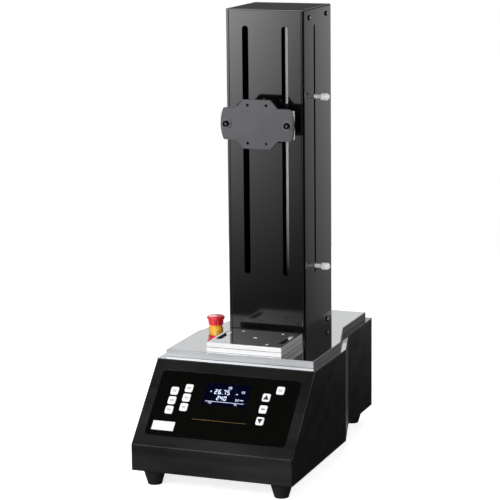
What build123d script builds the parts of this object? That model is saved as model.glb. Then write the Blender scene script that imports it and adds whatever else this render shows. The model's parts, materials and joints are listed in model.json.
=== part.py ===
from build123d import *
import os
from math import atan2, degrees, hypot, pi

os.makedirs("parts", exist_ok=True)

# Base, in mm: X is right, Y is back, Z is up, the floor is Z 0 and the middle of the footprint is X 0, Y 0
WIDTH = 240.0
DEPTH = 436.0
FOOT_H = 24.0
FACE_H = 37.3
SLOPE_RISE = 100.7
SLOPE_RUN = 98.0
STRAIGHT = 231.0
TAPER_RUN = 86.0
TAPER_IN = 24.5
WALL = 3.0
BEND_R = 2.5
TOP_RIM = 18.0
TOP_RIM_T = 3.0
LOW_RIM = 10.0
LOW_RIM_T = 2.0
COVER_T = 2.0
COVER_GAP = 0.25

# Trim sheet and base plate
TRIM_T = 1.5
PLATE_T = 10.2
PLATE_SIDE_IN = 8.0
PLATE_FRONT_IN = 14.0
PLATE_REAR_IN = 9.0
PLATE_CHAMFER = 0.8

# Feet and base fasteners
FOOT_TOP_R = 17.0
FOOT_LOW_R = 10.0
FOOT_IN = 25.0
FOOT_SINK = 12.0
FOOT_SCREW_R = 2.5
FOOT_HEAD_R = 4.6
FOOT_HEAD_H = 3.5
NUT_H = 4.0
COVER_SCREW_R = 2.0
COVER_HEAD_R = 3.6
COVER_HEAD_H = 2.0
PLATE_SCREW_R = 2.5
PLATE_HEAD_R = 4.5
PLATE_HEAD_H = 4.0
PLATE_SCREW_IN = 12.0
PLATE_SCREW_FRONT = 16.0
PLATE_SCREW_REAR = 20.0
PLATE_SCREW_BITE = 7.0
SCREW_FIT = 0.1

# Console overlay, keys and display, placed on the slope: u is right, v is up the slope.
# A key's place is a share of the way from the display to the overlay's side, and from its middle to its end.
OVERLAY_SIDE = 15.6
OVERLAY_L = 104.0
OVERLAY_V = 70.3
OVERLAY_R = 6.0
OVERLAY_T = 1.3
OVERLAY_PROUD = 0.3
OVERLAY_GAP = 0.2
OVERLAY_LEDGE = 6.0
KEY_W = 11.4
KEY_L = 12.4
KEY_R = 2.4
KEY_GAP = 0.3
KEY_PROUD = 0.5
KEY_TRAVEL = 0.5
KEY_PLAY = 0.1
KEY_SKIRT = 0.6
KEY_PLACES = {
    "key_outer_1": (-0.635, 0.383),
    "key_outer_2": (-0.635, 0.088),
    "key_outer_3": (-0.635, -0.206),
    "key_inner_1": (-0.346, 0.500),
    "key_inner_2": (-0.346, 0.206),
    "key_inner_3": (-0.346, -0.088),
    "key_up": (0.360, 0.425),
    "key_stop": (0.360, 0.065),
    "key_down": (0.360, -0.294),
    "key_corner": (0.614, 0.673),
}
LCD_W = 67.0
LCD_L = 36.0
LCD_RISE = 20.3
LCD_GAP = 0.1
LCD_RIM = 4.5
LCD_DROP = 0.2
BOARD_SIDE = 1.6
BOARD_END = 6.0
BOARD_T = 1.6
BOARD_DROP = 8.0
STANDOFF_R = 3.0
STANDOFF_IN = 4.5
SWITCH_SIDE = 8.0
SWITCH_H = 3.5
SWITCH_PIN_R = 2.0

# Test table
TABLE_W = 113.2
TABLE_L = 89.0
TABLE_X = 5.4
TABLE_FRONT = 117.5
TABLE_LOW_T = 7.1
TABLE_TOP_T = 7.1
TABLE_EDGE = 0.6
TABLE_HOLE_X = 61.0
TABLE_HOLE_Y = 65.4
TABLE_HOLE_R = 2.5
TABLE_CENTRE_R = 3.4
CLAMP_X = 47.7
CLAMP_Y = 63.5
CLAMP_SLOT_FRONT = 26.4
CLAMP_SLOT_REAR = 65.5
CLAMP_R = 2.5
CLAMP_HEAD_R = 4.0
CLAMP_HEAD_H = 3.0
CLAMP_FIT = 0.3
CLAMP_LEDGE = 3.4

# Emergency stop
STOP_SHIFT = 3.6
STOP_Y = 248.0
STOP_COLLAR_R = 10.75
STOP_COLLAR_H = 4.0
STOP_NECK_R = 9.3
STOP_NECK_H = 4.0
STOP_BARREL_R = 7.9
STOP_BARREL_L = 18.0
STOP_STEM_R = 4.5
STOP_FIT = 0.05
STOP_GAP = 0.3
STOP_TRAVEL = 3.5
STOP_HEAD_LOW_R = 10.9
STOP_HEAD_R = 13.3
STOP_HEAD_H = 14.6
STOP_HEAD_CAP = 4.0
STOP_GRIP_R = 11.7
STOP_GRIP_H = 8.5
STOP_RIM_EDGE = 1.0
STOP_HEAD_EDGE = 2.2
STOP_DOME = 2.0
STOP_FLUTES = 12
STOP_FLUTE_R = 1.7
STOP_FLUTE_DEPTH = 0.7
STOP_NUT_R = 9.5
STOP_BLOCK = 18.0
STOP_BLOCK_H = 26.0

# Column
COLUMN_W = 119.0
COLUMN_D = 117.5
COLUMN_H = 479.5
COLUMN_FRONT = 228.0
SIDE_T = 1.5
SIDE_BACK_IN = 1.5
FRONT_T = 2.0
FRONT_GAP = 2.5
FRONT_LIFT = 11.0
BACK_T = 1.5
SHEET_GAP = 0.3
LID_T = 2.0
LID_WEB = 4.0
LID_R = 2.0
END_TOP_T = 12.0
END_LOW_T = 16.0
END_TOP_DROP = 6.7
SLOT_X = 30.0
SLOT_W = 9.6
SLOT_LOW = 93.0
SLOT_HIGH = 455.5
SIDE_SLOT_Y = 44.3
SIDE_SLOT_W = 6.4
PANEL_SCREW_R = 2.0
PANEL_HEAD_R = 3.8
PANEL_HEAD_H = 1.8
PANEL_SCREW_BITE = 8.0
PANEL_SCREW_IN = 22.0
PANEL_SCREW_TOP = 12.7
PANEL_SCREW_LOW = 10.2

# Guide rods, lead screw and drive
ROD_X = 28.0
ROD_IN = 28.0
ROD_R = 8.0
RUN_FIT = 0.05
SCREW_R = 8.0
JOURNAL_R = 6.0
SCREW_CLEAR = 2.0
SCREW_SHOULDER = 0.2
LOW_BEARING_R = 16.0
LOW_BEARING_T = 10.0
TOP_BEARING_R = 14.0
TOP_BEARING_T = 8.0
BEARING_LIP = 3.0
BELT_PITCH = 5.0
BELT_W = 16.0
BELT_T = 1.7
BELT_FIT = 0.3
BELT_DROP = 20.0
TIP_DROP = 0.5
GROOVE_DEPTH = 1.8
GROOVE_TOP = 1.5
GROOVE_LOW = 0.9
SCREW_TEETH = 40
MOTOR_TEETH = 20
PULLEY_RIM = 2.0
PULLEY_LIP = 2.5
HUB_R = 11.0
HUB_L = 8.0
MOTOR_Y = -95.0
SHAFT_R = 4.0
GEARBOX_R = 30.0
GEARBOX_L = 30.0
MOTOR_R = 26.0
MOTOR_L = 52.0
BRACKET_SIDE = 84.0
BRACKET_T = 5.0
BRACKET_DROP = 40.0
POST_R = 5.0
POST_IN = 7.0
SUPPLY_W = 110.0
SUPPLY_L = 78.0
SUPPLY_H = 38.0
SUPPLY_GAP = 12.0

# Carriage and gauge plate
CARRIAGE_Z = 318.6
BLOCK_W = 86.0
BLOCK_D = 36.0
BLOCK_H = 50.0
BUSH_R = 13.0
NUT_R = 11.0
NUT_FLANGE_R = 18.0
NUT_FLANGE_T = 6.0
ARM_FIT = 0.5
ARM_H = 40.0
GAUGE_OUT = 35.0
GAUGE_T = 5.0
GAUGE_W = 111.0
GAUGE_H = 70.4
GAUGE_NECK_W = 40.6
GAUGE_SHOULDER_W = 63.0
GAUGE_LOBE_H = 46.0
GAUGE_LOBE_W = 102.0
GAUGE_CORNER_R = 3.0
GAUGE_HOLE_X = 28.4
GAUGE_HOLE_Z = 54.6
GAUGE_HOLE_R = 2.1
GAUGE_SCREW_X = 46.2
GAUGE_SCREW_R = 2.5
GAUGE_HEAD_R = 4.25
GAUGE_HEAD_H = 5.0
GAUGE_HEX_R = 2.3
GAUGE_HEX_H = 2.5
WASHER_R = 7.5
WASHER_T = 1.0
ADAPTER_W = 108.8
ADAPTER_H = 41.0
ADAPTER_T = 3.0

# Limit stops
LIMITS = {"upper": 351.5, "lower": 102.0}
LIMIT_T = 6.3
LIMIT_W = 24.0
LIMIT_H = 36.0
LIMIT_FRONT = 36.0
LIMIT_GAP = 0.2
KNOB_SHAFT_R = 3.0
KNOB_SHAFT_L = 9.9
KNOB_R = 5.1
KNOB_L = 12.3
KNOB_EDGE = 0.8
KNOB_THREAD_R = 2.5
MICRO_T = 6.4
MICRO_W = 10.2
MICRO_H = 20.0
MICRO_PIN_R = 1.2
MICRO_PIN_L = 1.4
STRIKER_GAP = 0.4
STRIKER_T = 3.0
STRIKER_H = 12.0

# Power inlet on the rear wall
INLET_FLANGE_T = 2.0
INLET_X = 38.0
INLET_UP = 46.0
INLET_W = 52.0
INLET_H = 30.0
INLET_BODY_W = 47.0
INLET_BODY_H = 25.0
INLET_BODY_L = 24.0
INLET_FIT = 0.2
SOCKET_X = 9.5
SOCKET_W = 24.0
SOCKET_H = 16.5
SOCKET_L = 16.0
BLADE_X = 7.0
BLADE_Z = 2.0
BLADE_T = 2.0
BLADE_H = 4.0
BLADE_L = 12.0
ROCKER_X = -15.5
ROCKER_W = 9.0
ROCKER_H = 19.0
ROCKER_FIT = 0.4
ROCKER_L = 12.0
ROCKER_FACE = 3.0
ROCKER_DEEP = 4.5
ROCKER_TAPER = 2.3
ROCKER_TILT = 8.0
PIVOT_R = 1.5
PIVOT_IN = 5.0

# Planes and places that follow from the sizes
HALF = WIDTH / 2
OVERLAY_W = WIDTH - 2 * OVERLAY_SIDE
LCD_V = OVERLAY_V + LCD_RISE
BOARD_W = OVERLAY_W + 2 * BOARD_SIDE
BOARD_L = OVERLAY_L - 2 * BOARD_END
FRONT = -DEPTH / 2
REAR = DEPTH / 2 - INLET_FLANGE_T
Z_FACE = FOOT_H + FACE_H
Z_TRIM = Z_FACE + SLOPE_RISE
Z_WALL = Z_TRIM - TRIM_T
Z_PLATE = Z_TRIM + PLATE_T
SLOPE_L = hypot(SLOPE_RUN, SLOPE_RISE)
TILT = (0, -SLOPE_RISE / SLOPE_L, SLOPE_RUN / SLOPE_L)
SLOPE = Plane(origin=(0, FRONT, Z_FACE), x_dir=(1, 0, 0), z_dir=TILT).location
LARGE = 3 * (DEPTH + COLUMN_H)
CF = FRONT + COLUMN_FRONT
CB = CF + COLUMN_D
CH = COLUMN_W / 2
CT = Z_PLATE + COLUMN_H
SIDE_IN = CH - SIDE_T
END_TOP_Z = CT - END_TOP_DROP
END_BASE_Z = END_TOP_Z - END_TOP_T
AXIS_Y = CF + ROD_IN
TABLE_Y = FRONT + TABLE_FRONT
Z_TABLE = Z_PLATE + TABLE_LOW_T + TABLE_TOP_T
CARR_Z = Z_PLATE + CARRIAGE_Z
BELT_TOP = Z_WALL - TIP_DROP - BELT_DROP + BELT_W / 2
BELT_LOW = BELT_TOP - BELT_W


def box(x, y, z):
    """Box between two limits along each axis."""
    size = (x[1] - x[0], y[1] - y[0], z[1] - z[0])
    return Pos((x[0] + x[1]) / 2, (y[0] + y[1]) / 2, (z[0] + z[1]) / 2) * Box(*size)


def rod(x, y, z0, z1, r):
    """Upright cylinder."""
    return Pos(x, y, (z0 + z1) / 2) * Cylinder(r, z1 - z0)


def rod_x(x0, x1, y, z, r):
    """Cylinder along X."""
    return Pos((x0 + x1) / 2, y, z) * Rot(0, 90, 0) * Cylinder(r, abs(x1 - x0))


def rod_y(x, y0, y1, z, r):
    """Cylinder along Y."""
    return Pos(x, (y0 + y1) / 2, z) * Rot(90, 0, 0) * Cylinder(r, abs(y1 - y0))


def prism(face, z0, z1):
    """Flat outline raised between two heights."""
    return extrude(Pos(0, 0, z0) * face, amount=z1 - z0, dir=(0, 0, 1))


def slab(w, h, t, r):
    """Plate with rounded corners, from 0 up to t."""
    return extrude(RectangleRounded(w, h, r), amount=t, dir=(0, 0, 1))


def on_slope(u, v, w, shape):
    """Place a shape on the console: w is the height above the slope."""
    return SLOPE * Pos(u, v, w) * shape


def group(shapes):
    """Several separate solids kept in one node."""
    return Compound([s for shape in shapes for s in shape.solids()])


def save(name, shape):
    export_step(shape, "parts/" + name + ".step")


def plan(half, front, rear):
    """Plan outline: straight sides, then a taper to the narrower rear block."""
    mid = FRONT + STRAIGHT
    back = half - TAPER_IN
    pts = [(half, front), (half, mid), (back, mid + TAPER_RUN), (back, rear)]
    pts += [(-x, y) for x, y in reversed(pts)]
    return make_face(Polyline(*pts, close=True))


def above_slope(drop):
    """All that lies above a plane set drop below the console slope."""
    return on_slope(0, 0, LARGE / 2 - drop, Box(LARGE, LARGE, LARGE))


def both_sides(points):
    return [(side * x, y) for x, y in points for side in (-1, 1)]


def half_width(y):
    """Half the housing's width at a place along its depth."""
    t = (y - FRONT - STRAIGHT) / TAPER_RUN
    return HALF - TAPER_IN * min(max(t, 0), 1)


def rim_points(inset, front_in, rear_in):
    """Fastener places along both side rims, inset from the outer wall."""
    rows = [FRONT + front_in, FRONT + STRAIGHT - rear_in, REAR - rear_in]
    return both_sides([(half_width(y) - inset, y) for y in rows])


FEET = both_sides([(HALF - FOOT_IN, FRONT + FOOT_IN), (HALF - TAPER_IN - FOOT_IN, REAR - FOOT_IN)])
COVER_SCREWS = rim_points(WALL + LOW_RIM / 2, SLOPE_RUN / 2, FOOT_IN + 2 * FOOT_TOP_R)
PLATE_SCREWS = rim_points(PLATE_SCREW_IN, SLOPE_RUN + PLATE_FRONT_IN + PLATE_SCREW_FRONT, PLATE_SCREW_REAR)
STOP = (-(CH + HALF - PLATE_SIDE_IN) / 2 - STOP_SHIFT, FRONT + STOP_Y)


def key_place(across, along):
    """Place of a key on the slope from its shares of the overlay."""
    side = 1 if across > 0 else -1
    free = (OVERLAY_W - LCD_W) / 2
    return side * LCD_W / 2 + across * free, OVERLAY_V + along * OVERLAY_L / 2


KEYS = {name: key_place(*share) for name, share in KEY_PLACES.items()}


def make_housing():
    """Base shell: open below, rimmed above, with the console pocket and the rear cut-out."""
    outline = plan(HALF, FRONT, REAR)
    shell = prism(outline, FOOT_H, Z_WALL) - above_slope(0)
    bends = shell.edges().filter_by(Axis.Z)
    bends += [e for e in shell.edges() if abs(e.center().Z - Z_FACE) < 0.01 and e.length > HALF]
    slant = [e for e in shell.edges() if abs(e.tangent_at(0.5).Y) > 0.1 and abs(e.tangent_at(0.5).Z) > 0.1]
    shell = fillet(bends + slant, BEND_R)
    room = offset(outline, -WALL, kind=Kind.INTERSECTION)
    low = FOOT_H + COVER_T + LOW_RIM_T
    shell -= prism(room, low, Z_WALL - TOP_RIM_T) - above_slope(WALL)
    shell -= prism(offset(outline, -WALL - LOW_RIM, kind=Kind.INTERSECTION), FOOT_H, low)
    shell -= prism(room, FOOT_H - 1, FOOT_H + COVER_T)
    lid = plan(HALF, FRONT + SLOPE_RUN, REAR)
    shell -= prism(offset(lid, -TOP_RIM, kind=Kind.INTERSECTION), Z_WALL - TOP_RIM_T - 1, Z_WALL + 1)
    gap = 2 * OVERLAY_GAP
    sink = OVERLAY_T - OVERLAY_PROUD
    pocket = slab(OVERLAY_W + gap, OVERLAY_L + gap, sink + WALL, OVERLAY_R + OVERLAY_GAP)
    shell -= on_slope(0, OVERLAY_V, -sink, pocket)
    hole = slab(OVERLAY_W - 2 * OVERLAY_LEDGE, OVERLAY_L - 2 * OVERLAY_LEDGE, 3 * WALL, OVERLAY_R / 2)
    shell -= on_slope(0, OVERLAY_V, -2 * WALL, hole)
    w = INLET_BODY_W / 2 + INLET_FIT
    h = INLET_BODY_H / 2 + INLET_FIT
    z = FOOT_H + INLET_UP
    shell -= box((INLET_X - w, INLET_X + w), (REAR - 2 * WALL, REAR + WALL), (z - h, z + h))
    rim = Z_WALL - TOP_RIM_T
    shell -= [rod(x, y, rim - 1, Z_WALL + 1, PLATE_SCREW_R + SCREW_FIT) for x, y in PLATE_SCREWS]
    shell -= [rod(x, y, FOOT_H, low + 1, COVER_SCREW_R + SCREW_FIT) for x, y in COVER_SCREWS]
    return shell - rod(*STOP, rim - 1, Z_WALL + 1, STOP_NUT_R + STOP_GAP)


def make_cover():
    """Bottom sheet inside the walls, drilled for its own screws and the feet."""
    room = offset(plan(HALF, FRONT, REAR), -WALL - COVER_GAP, kind=Kind.INTERSECTION)
    cover = prism(room, FOOT_H, FOOT_H + COVER_T)
    cover -= [rod(x, y, FOOT_H - 1, Z_FACE, FOOT_SCREW_R + SCREW_FIT) for x, y in FEET]
    cover -= [rod(x, y, FOOT_H - 1, Z_FACE, COVER_SCREW_R + SCREW_FIT) for x, y in COVER_SCREWS]
    return cover


def make_foot(x, y):
    """Conical rubber foot with a sunk hole for its screw."""
    foot = Pos(x, y, FOOT_H / 2) * Cone(FOOT_LOW_R, FOOT_TOP_R, FOOT_H)
    foot -= rod(x, y, -1, FOOT_H + 1, FOOT_SCREW_R + SCREW_FIT)
    return foot - rod(x, y, -1, FOOT_SINK, FOOT_HEAD_R + SCREW_FIT)


def make_foot_screw(x, y):
    """Screw up through the foot and the cover, with its nut on top."""
    top = FOOT_H + COVER_T
    screw = rod(x, y, FOOT_SINK - FOOT_HEAD_H, FOOT_SINK, FOOT_HEAD_R)
    screw += rod(x, y, FOOT_SINK, top + NUT_H, FOOT_SCREW_R)
    return screw + Pos(x, y) * prism(RegularPolygon(FOOT_HEAD_R, 6), top, top + NUT_H)


def make_cover_screw(x, y):
    top = FOOT_H + COVER_T + LOW_RIM_T
    return rod(x, y, FOOT_H - COVER_HEAD_H, FOOT_H, COVER_HEAD_R) + rod(x, y, FOOT_H, top, COVER_SCREW_R)


def make_plate_screw(x, y):
    """Screw from under the rim, through the trim sheet, into the base plate."""
    low = Z_WALL - TOP_RIM_T
    screw = rod(x, y, low - PLATE_HEAD_H, low, PLATE_HEAD_R)
    return screw + rod(x, y, low, Z_TRIM + PLATE_SCREW_BITE, PLATE_SCREW_R)


def make_trim():
    """Bright sheet between the housing and the base plate."""
    trim = prism(plan(HALF, FRONT + SLOPE_RUN, REAR), Z_WALL, Z_TRIM)
    trim -= rod(0, AXIS_Y, Z_WALL - 1, Z_TRIM + 1, LOW_BEARING_R - BEARING_LIP)
    trim -= rod(*STOP, Z_WALL - 1, Z_TRIM + 1, STOP_BARREL_R + SCREW_FIT)
    return trim - [rod(x, y, Z_WALL - 1, Z_TRIM + 1, PLATE_SCREW_R + SCREW_FIT) for x, y in PLATE_SCREWS]


def make_plate():
    """Thick polished plate that carries the column, the table and the stop button."""
    front = FRONT + SLOPE_RUN + PLATE_FRONT_IN
    plate = prism(plan(HALF - PLATE_SIDE_IN, front, REAR - PLATE_REAR_IN), Z_TRIM, Z_PLATE)
    plate = chamfer(plate.faces().sort_by(Axis.Z)[-1].edges(), PLATE_CHAMFER)
    plate -= rod(0, AXIS_Y, Z_TRIM - 1, Z_PLATE + 1, LOW_BEARING_R)
    plate -= rod(*STOP, Z_TRIM - 1, Z_PLATE + 1, STOP_BARREL_R + SCREW_FIT)
    bite = Z_TRIM + PLATE_SCREW_BITE
    return plate - [rod(x, y, Z_TRIM - 1, bite, PLATE_SCREW_R) for x, y in PLATE_SCREWS]


def table_sheet(z0, z1):
    sheet = box((TABLE_X - TABLE_W / 2, TABLE_X + TABLE_W / 2), (TABLE_Y, TABLE_Y + TABLE_L), (z0, z1))
    return chamfer(sheet.faces().sort_by(Axis.Z)[-1].edges(), TABLE_EDGE)


def clamp_slot(side, r, z0, z1):
    """Slot along Y for one clamp screw."""
    length = CLAMP_SLOT_REAR - CLAMP_SLOT_FRONT
    mid = TABLE_Y + (CLAMP_SLOT_REAR + CLAMP_SLOT_FRONT) / 2
    face = Pos(TABLE_X + side * CLAMP_X, mid) * SlotCenterToCenter(length, 2 * r, rotation=90)
    return prism(face, z0, z1)


def make_table_low():
    sheet = table_sheet(Z_PLATE, Z_PLATE + TABLE_LOW_T)
    y = TABLE_Y + CLAMP_Y
    return sheet - [rod(TABLE_X + s * CLAMP_X, y, Z_PLATE, Z_TABLE, CLAMP_R) for s in (-1, 1)]


def make_table_top():
    """Upper table plate: two stepped clamp slots, four corner holes and a centre hole."""
    low = Z_PLATE + TABLE_LOW_T
    sheet = table_sheet(low, Z_TABLE)
    for side in (-1, 1):
        sheet -= clamp_slot(side, CLAMP_R + CLAMP_FIT, low - 1, Z_TABLE + 1)
        sheet -= clamp_slot(side, CLAMP_HEAD_R + CLAMP_FIT, low + CLAMP_LEDGE, Z_TABLE + 1)
    mid = TABLE_Y + TABLE_L / 2
    corners = [(sx * TABLE_HOLE_X / 2, sy * TABLE_HOLE_Y / 2) for sx in (-1, 1) for sy in (-1, 1)]
    sheet -= [rod(TABLE_X + x, mid + y, low - 1, Z_TABLE + 1, TABLE_HOLE_R) for x, y in corners]
    return sheet - rod(TABLE_X, mid, low - 1, Z_TABLE + 1, TABLE_CENTRE_R)


def make_clamp_screw(side):
    """Clamp screw: threaded in the lower plate, its head on the slot's ledge."""
    x = TABLE_X + side * CLAMP_X
    y = TABLE_Y + CLAMP_Y
    seat = Z_PLATE + TABLE_LOW_T + CLAMP_LEDGE
    screw = rod(x, y, Z_PLATE, seat, CLAMP_R) + rod(x, y, seat, seat + CLAMP_HEAD_H, CLAMP_HEAD_R)
    socket = prism(RegularPolygon(CLAMP_HEAD_R / 2, 6), seat + CLAMP_HEAD_H / 2, seat + CLAMP_HEAD_H + 1)
    return screw - Pos(x, y) * socket


def ring(x, y, z0, z1, r_out, r_in):
    return rod(x, y, z0, z1, r_out) - rod(x, y, z0 - 1, z1 + 1, r_in)


def make_stop_collar():
    """Yellow collar with its neck and the threaded barrel through the plates."""
    x, y = STOP
    top = Z_PLATE + STOP_COLLAR_H
    collar = rod(x, y, Z_PLATE, top, STOP_COLLAR_R) + rod(x, y, top, top + STOP_NECK_H, STOP_NECK_R)
    collar += rod(x, y, Z_PLATE - STOP_BARREL_L, Z_PLATE, STOP_BARREL_R)
    return collar - rod(x, y, Z_PLATE - STOP_BARREL_L - 1, CT, STOP_STEM_R + STOP_FIT)


STOP_BASE = Z_PLATE + STOP_COLLAR_H + STOP_GAP + STOP_TRAVEL
STOP_LOW = Z_PLATE - STOP_BARREL_L


def make_stop_stem():
    """Plunger that carries the head and works the contacts."""
    return rod(*STOP, STOP_LOW + 1, STOP_BASE + STOP_HEAD_H - STOP_HEAD_CAP - STOP_GAP, STOP_STEM_R)


def make_stop_head():
    """Mushroom head: fluted grip, wide rim, crowned top, hollow below to pass over the neck."""
    grip = Pos(0, 0, STOP_GRIP_H / 2) * Cone(STOP_HEAD_LOW_R, STOP_GRIP_R, STOP_GRIP_H)
    lean = degrees(atan2(STOP_GRIP_R - STOP_HEAD_LOW_R, STOP_GRIP_H))
    out = STOP_HEAD_LOW_R + STOP_FLUTE_R - STOP_FLUTE_DEPTH
    flute = Pos(out, 0, 0) * Rot(0, lean, 0) * Cylinder(STOP_FLUTE_R, 2 * STOP_GRIP_H - 2 * STOP_FLUTE_R)
    grip -= [Rot(0, 0, 360 * i / STOP_FLUTES) * flute for i in range(STOP_FLUTES)]
    crown = (STOP_HEAD_R ** 2 + STOP_DOME ** 2) / (2 * STOP_DOME)
    rim = rod(0, 0, STOP_GRIP_H, STOP_HEAD_H, STOP_HEAD_R) & Pos(0, 0, STOP_HEAD_H - crown) * Sphere(crown)
    rim = fillet(rim.faces().sort_by(Axis.Z)[-1].edges(), STOP_HEAD_EDGE)
    rim = chamfer(rim.faces().sort_by(Axis.Z)[0].edges(), STOP_RIM_EDGE)
    cap = grip + rim - rod(0, 0, -1, STOP_NECK_H + STOP_GAP, STOP_NECK_R + STOP_GAP)
    cap -= rod(0, 0, -1, STOP_HEAD_H - STOP_HEAD_CAP, STOP_STEM_R + STOP_FIT)
    return Pos(*STOP, STOP_BASE) * cap


def make_stop_nut():
    """Lock nut under the trim sheet."""
    nut = Pos(*STOP) * prism(RegularPolygon(STOP_NUT_R, 6), Z_WALL - NUT_H, Z_WALL)
    return nut - rod(*STOP, Z_WALL - NUT_H - 1, Z_WALL + 1, STOP_BARREL_R)


def make_stop_block():
    """Contact block under the barrel, with a pocket for the plunger."""
    x, y = STOP
    h = STOP_BLOCK / 2
    block = box((x - h, x + h), (y - h, y + h), (STOP_LOW - STOP_BLOCK_H, STOP_LOW))
    return block - rod(x, y, STOP_LOW - 2 * STOP_TRAVEL, STOP_LOW + 1, STOP_STEM_R + STOP_GAP)


OVERLAY_BASE = OVERLAY_PROUD - OVERLAY_T
SWITCH_TOP = OVERLAY_BASE - KEY_SKIRT - KEY_TRAVEL - KEY_PLAY


def make_overlay():
    """Console overlay with the key holes and the display window."""
    sheet = on_slope(0, OVERLAY_V, OVERLAY_BASE, slab(OVERLAY_W, OVERLAY_L, OVERLAY_T, OVERLAY_R))
    hole = slab(KEY_W + 2 * KEY_GAP, KEY_L + 2 * KEY_GAP, 3 * OVERLAY_T, KEY_R + KEY_GAP)
    sheet -= [on_slope(u, v, OVERLAY_BASE - OVERLAY_T, hole) for u, v in KEYS.values()]
    window = slab(LCD_W + 2 * LCD_GAP, LCD_L + 2 * LCD_GAP, 3 * OVERLAY_T, LCD_RIM / 3)
    return sheet - on_slope(0, LCD_V, OVERLAY_BASE - OVERLAY_T, window)


def make_key(u, v):
    """White key cap, proud of the overlay."""
    height = KEY_SKIRT + OVERLAY_T + KEY_PROUD
    cap = slab(KEY_W, KEY_L, height, KEY_R)
    cap = fillet(cap.faces().sort_by(Axis.Z)[-1].edges(), KEY_PROUD * 0.8)
    return on_slope(u, v, OVERLAY_BASE - KEY_SKIRT, cap)


def make_lcd_window():
    return on_slope(0, LCD_V, OVERLAY_BASE, slab(LCD_W, LCD_L, OVERLAY_T, LCD_RIM / 3))


def make_lcd_module():
    """Display module on the board, close behind the window."""
    low = -WALL - BOARD_DROP
    return on_slope(0, LCD_V, low, slab(LCD_W + 2 * LCD_RIM, LCD_L + 2 * LCD_RIM,
                                        OVERLAY_BASE - LCD_DROP - low, LCD_RIM / 3))


def standoff_places():
    u = BOARD_W / 2 - STANDOFF_IN
    v = BOARD_L / 2 - STANDOFF_IN
    return [(a * u, OVERLAY_V + b * v) for a in (-1, 1) for b in (-1, 1)]


def make_board():
    low = -WALL - BOARD_DROP - BOARD_T
    return on_slope(0, OVERLAY_V, low, slab(BOARD_W, BOARD_L, BOARD_T, STANDOFF_R))


def make_standoff(u, v):
    return on_slope(u, v, -WALL - BOARD_DROP / 2, Cylinder(STANDOFF_R, BOARD_DROP))


def make_switch(u, v):
    """Key switch on the board, its pin just under the key."""
    low = -WALL - BOARD_DROP
    body = slab(SWITCH_SIDE, SWITCH_SIDE, SWITCH_H, SWITCH_PIN_R / 2)
    pin = Pos(0, 0, (SWITCH_TOP - low) / 2) * Cylinder(SWITCH_PIN_R, SWITCH_TOP - low)
    return on_slope(u, v, low, body + pin)


def upright_slot(x, width, z0, z1, y0, y1):
    """Round-ended slot through a sheet that faces front."""
    face = Plane(origin=(x, y0, (z0 + z1) / 2), x_dir=(0, 0, 1), z_dir=(0, 1, 0)).location
    return face * extrude(SlotOverall(z1 - z0, width), amount=y1 - y0, dir=(0, 0, 1))


def make_column_front():
    """Front sheet with two long slots for the carriage arms."""
    half = SIDE_IN - FRONT_GAP
    sheet = box((-half, half), (CF, CF + FRONT_T), (Z_PLATE + FRONT_LIFT, CT - LID_T - SHEET_GAP))
    edges = [e for e in sheet.edges().filter_by(Axis.Z) if abs(e.center().Y - CF) < 0.01]
    sheet = fillet(edges, FRONT_T * 0.6)
    low = Z_PLATE + SLOT_LOW
    high = Z_PLATE + SLOT_HIGH
    return sheet - [upright_slot(s * SLOT_X, SLOT_W, low, high, CF - 1, CF + FRONT_T + 1) for s in (-1, 1)]


def panel_screw_places():
    """Places of the side screws as Y and Z: two at the top, one low at the back."""
    top = CT - PANEL_SCREW_TOP
    back = CB - PANEL_SCREW_IN
    return [(CF + PANEL_SCREW_IN, top), (back, top), (back, Z_PLATE + PANEL_SCREW_LOW)]


def make_column_side(side):
    """Side sheet; the right one has the slot for the limit stops."""
    x = sorted((side * SIDE_IN, side * CH))
    sheet = box(x, (CF + SIDE_BACK_IN, CB), (Z_PLATE, CT - LID_T - SHEET_GAP))
    reach = (x[0] - 1, x[1] + 1)
    sheet -= [rod_x(*reach, y, z, PANEL_SCREW_R + SCREW_FIT) for y, z in panel_screw_places()]
    if side > 0:
        length = SLOT_HIGH - SLOT_LOW
        face = Plane(origin=(x[0] - 1, CF + SIDE_SLOT_Y, Z_PLATE + (SLOT_HIGH + SLOT_LOW) / 2),
                     x_dir=(0, 0, 1), z_dir=(1, 0, 0)).location
        sheet -= face * extrude(SlotOverall(length, SIDE_SLOT_W), amount=SIDE_T + 2, dir=(0, 0, 1))
    return sheet


def make_column_back():
    half = SIDE_IN - SHEET_GAP
    return box((-half, half), (CB - BACK_T, CB), (Z_PLATE, CT - LID_T - SHEET_GAP))


def make_column_lid():
    """Top cover on a web frame that stands on the upper end plate."""
    lid = box((-CH, CH), (CF, CB), (CT - LID_T, CT))
    edges = lid.faces().sort_by(Axis.Z)[-1].edges() + lid.edges().filter_by(Axis.Z)
    lid = fillet(edges, LID_R * 0.75)
    side = SIDE_IN - LID_WEB
    front = CF + FRONT_T + LID_WEB
    back = CB - BACK_T - LID_WEB
    high = (END_TOP_Z, CT - LID_T)
    frame = box((-side, side), (front, back), high)
    frame -= box((LID_WEB - side, side - LID_WEB), (front + LID_WEB, back - LID_WEB), high)
    return lid + frame


def make_panel_screw(side, y, z):
    x = side * CH
    screw = rod_x(x, x + side * PANEL_HEAD_H, y, z, PANEL_HEAD_R)
    edge = screw.faces().sort_by(Axis.X)[-1 if side > 0 else 0].edges()
    screw = fillet(edge, PANEL_HEAD_H * 0.6)
    return screw + rod_x(x - side * PANEL_SCREW_BITE, x, y, z, PANEL_SCREW_R)


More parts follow.
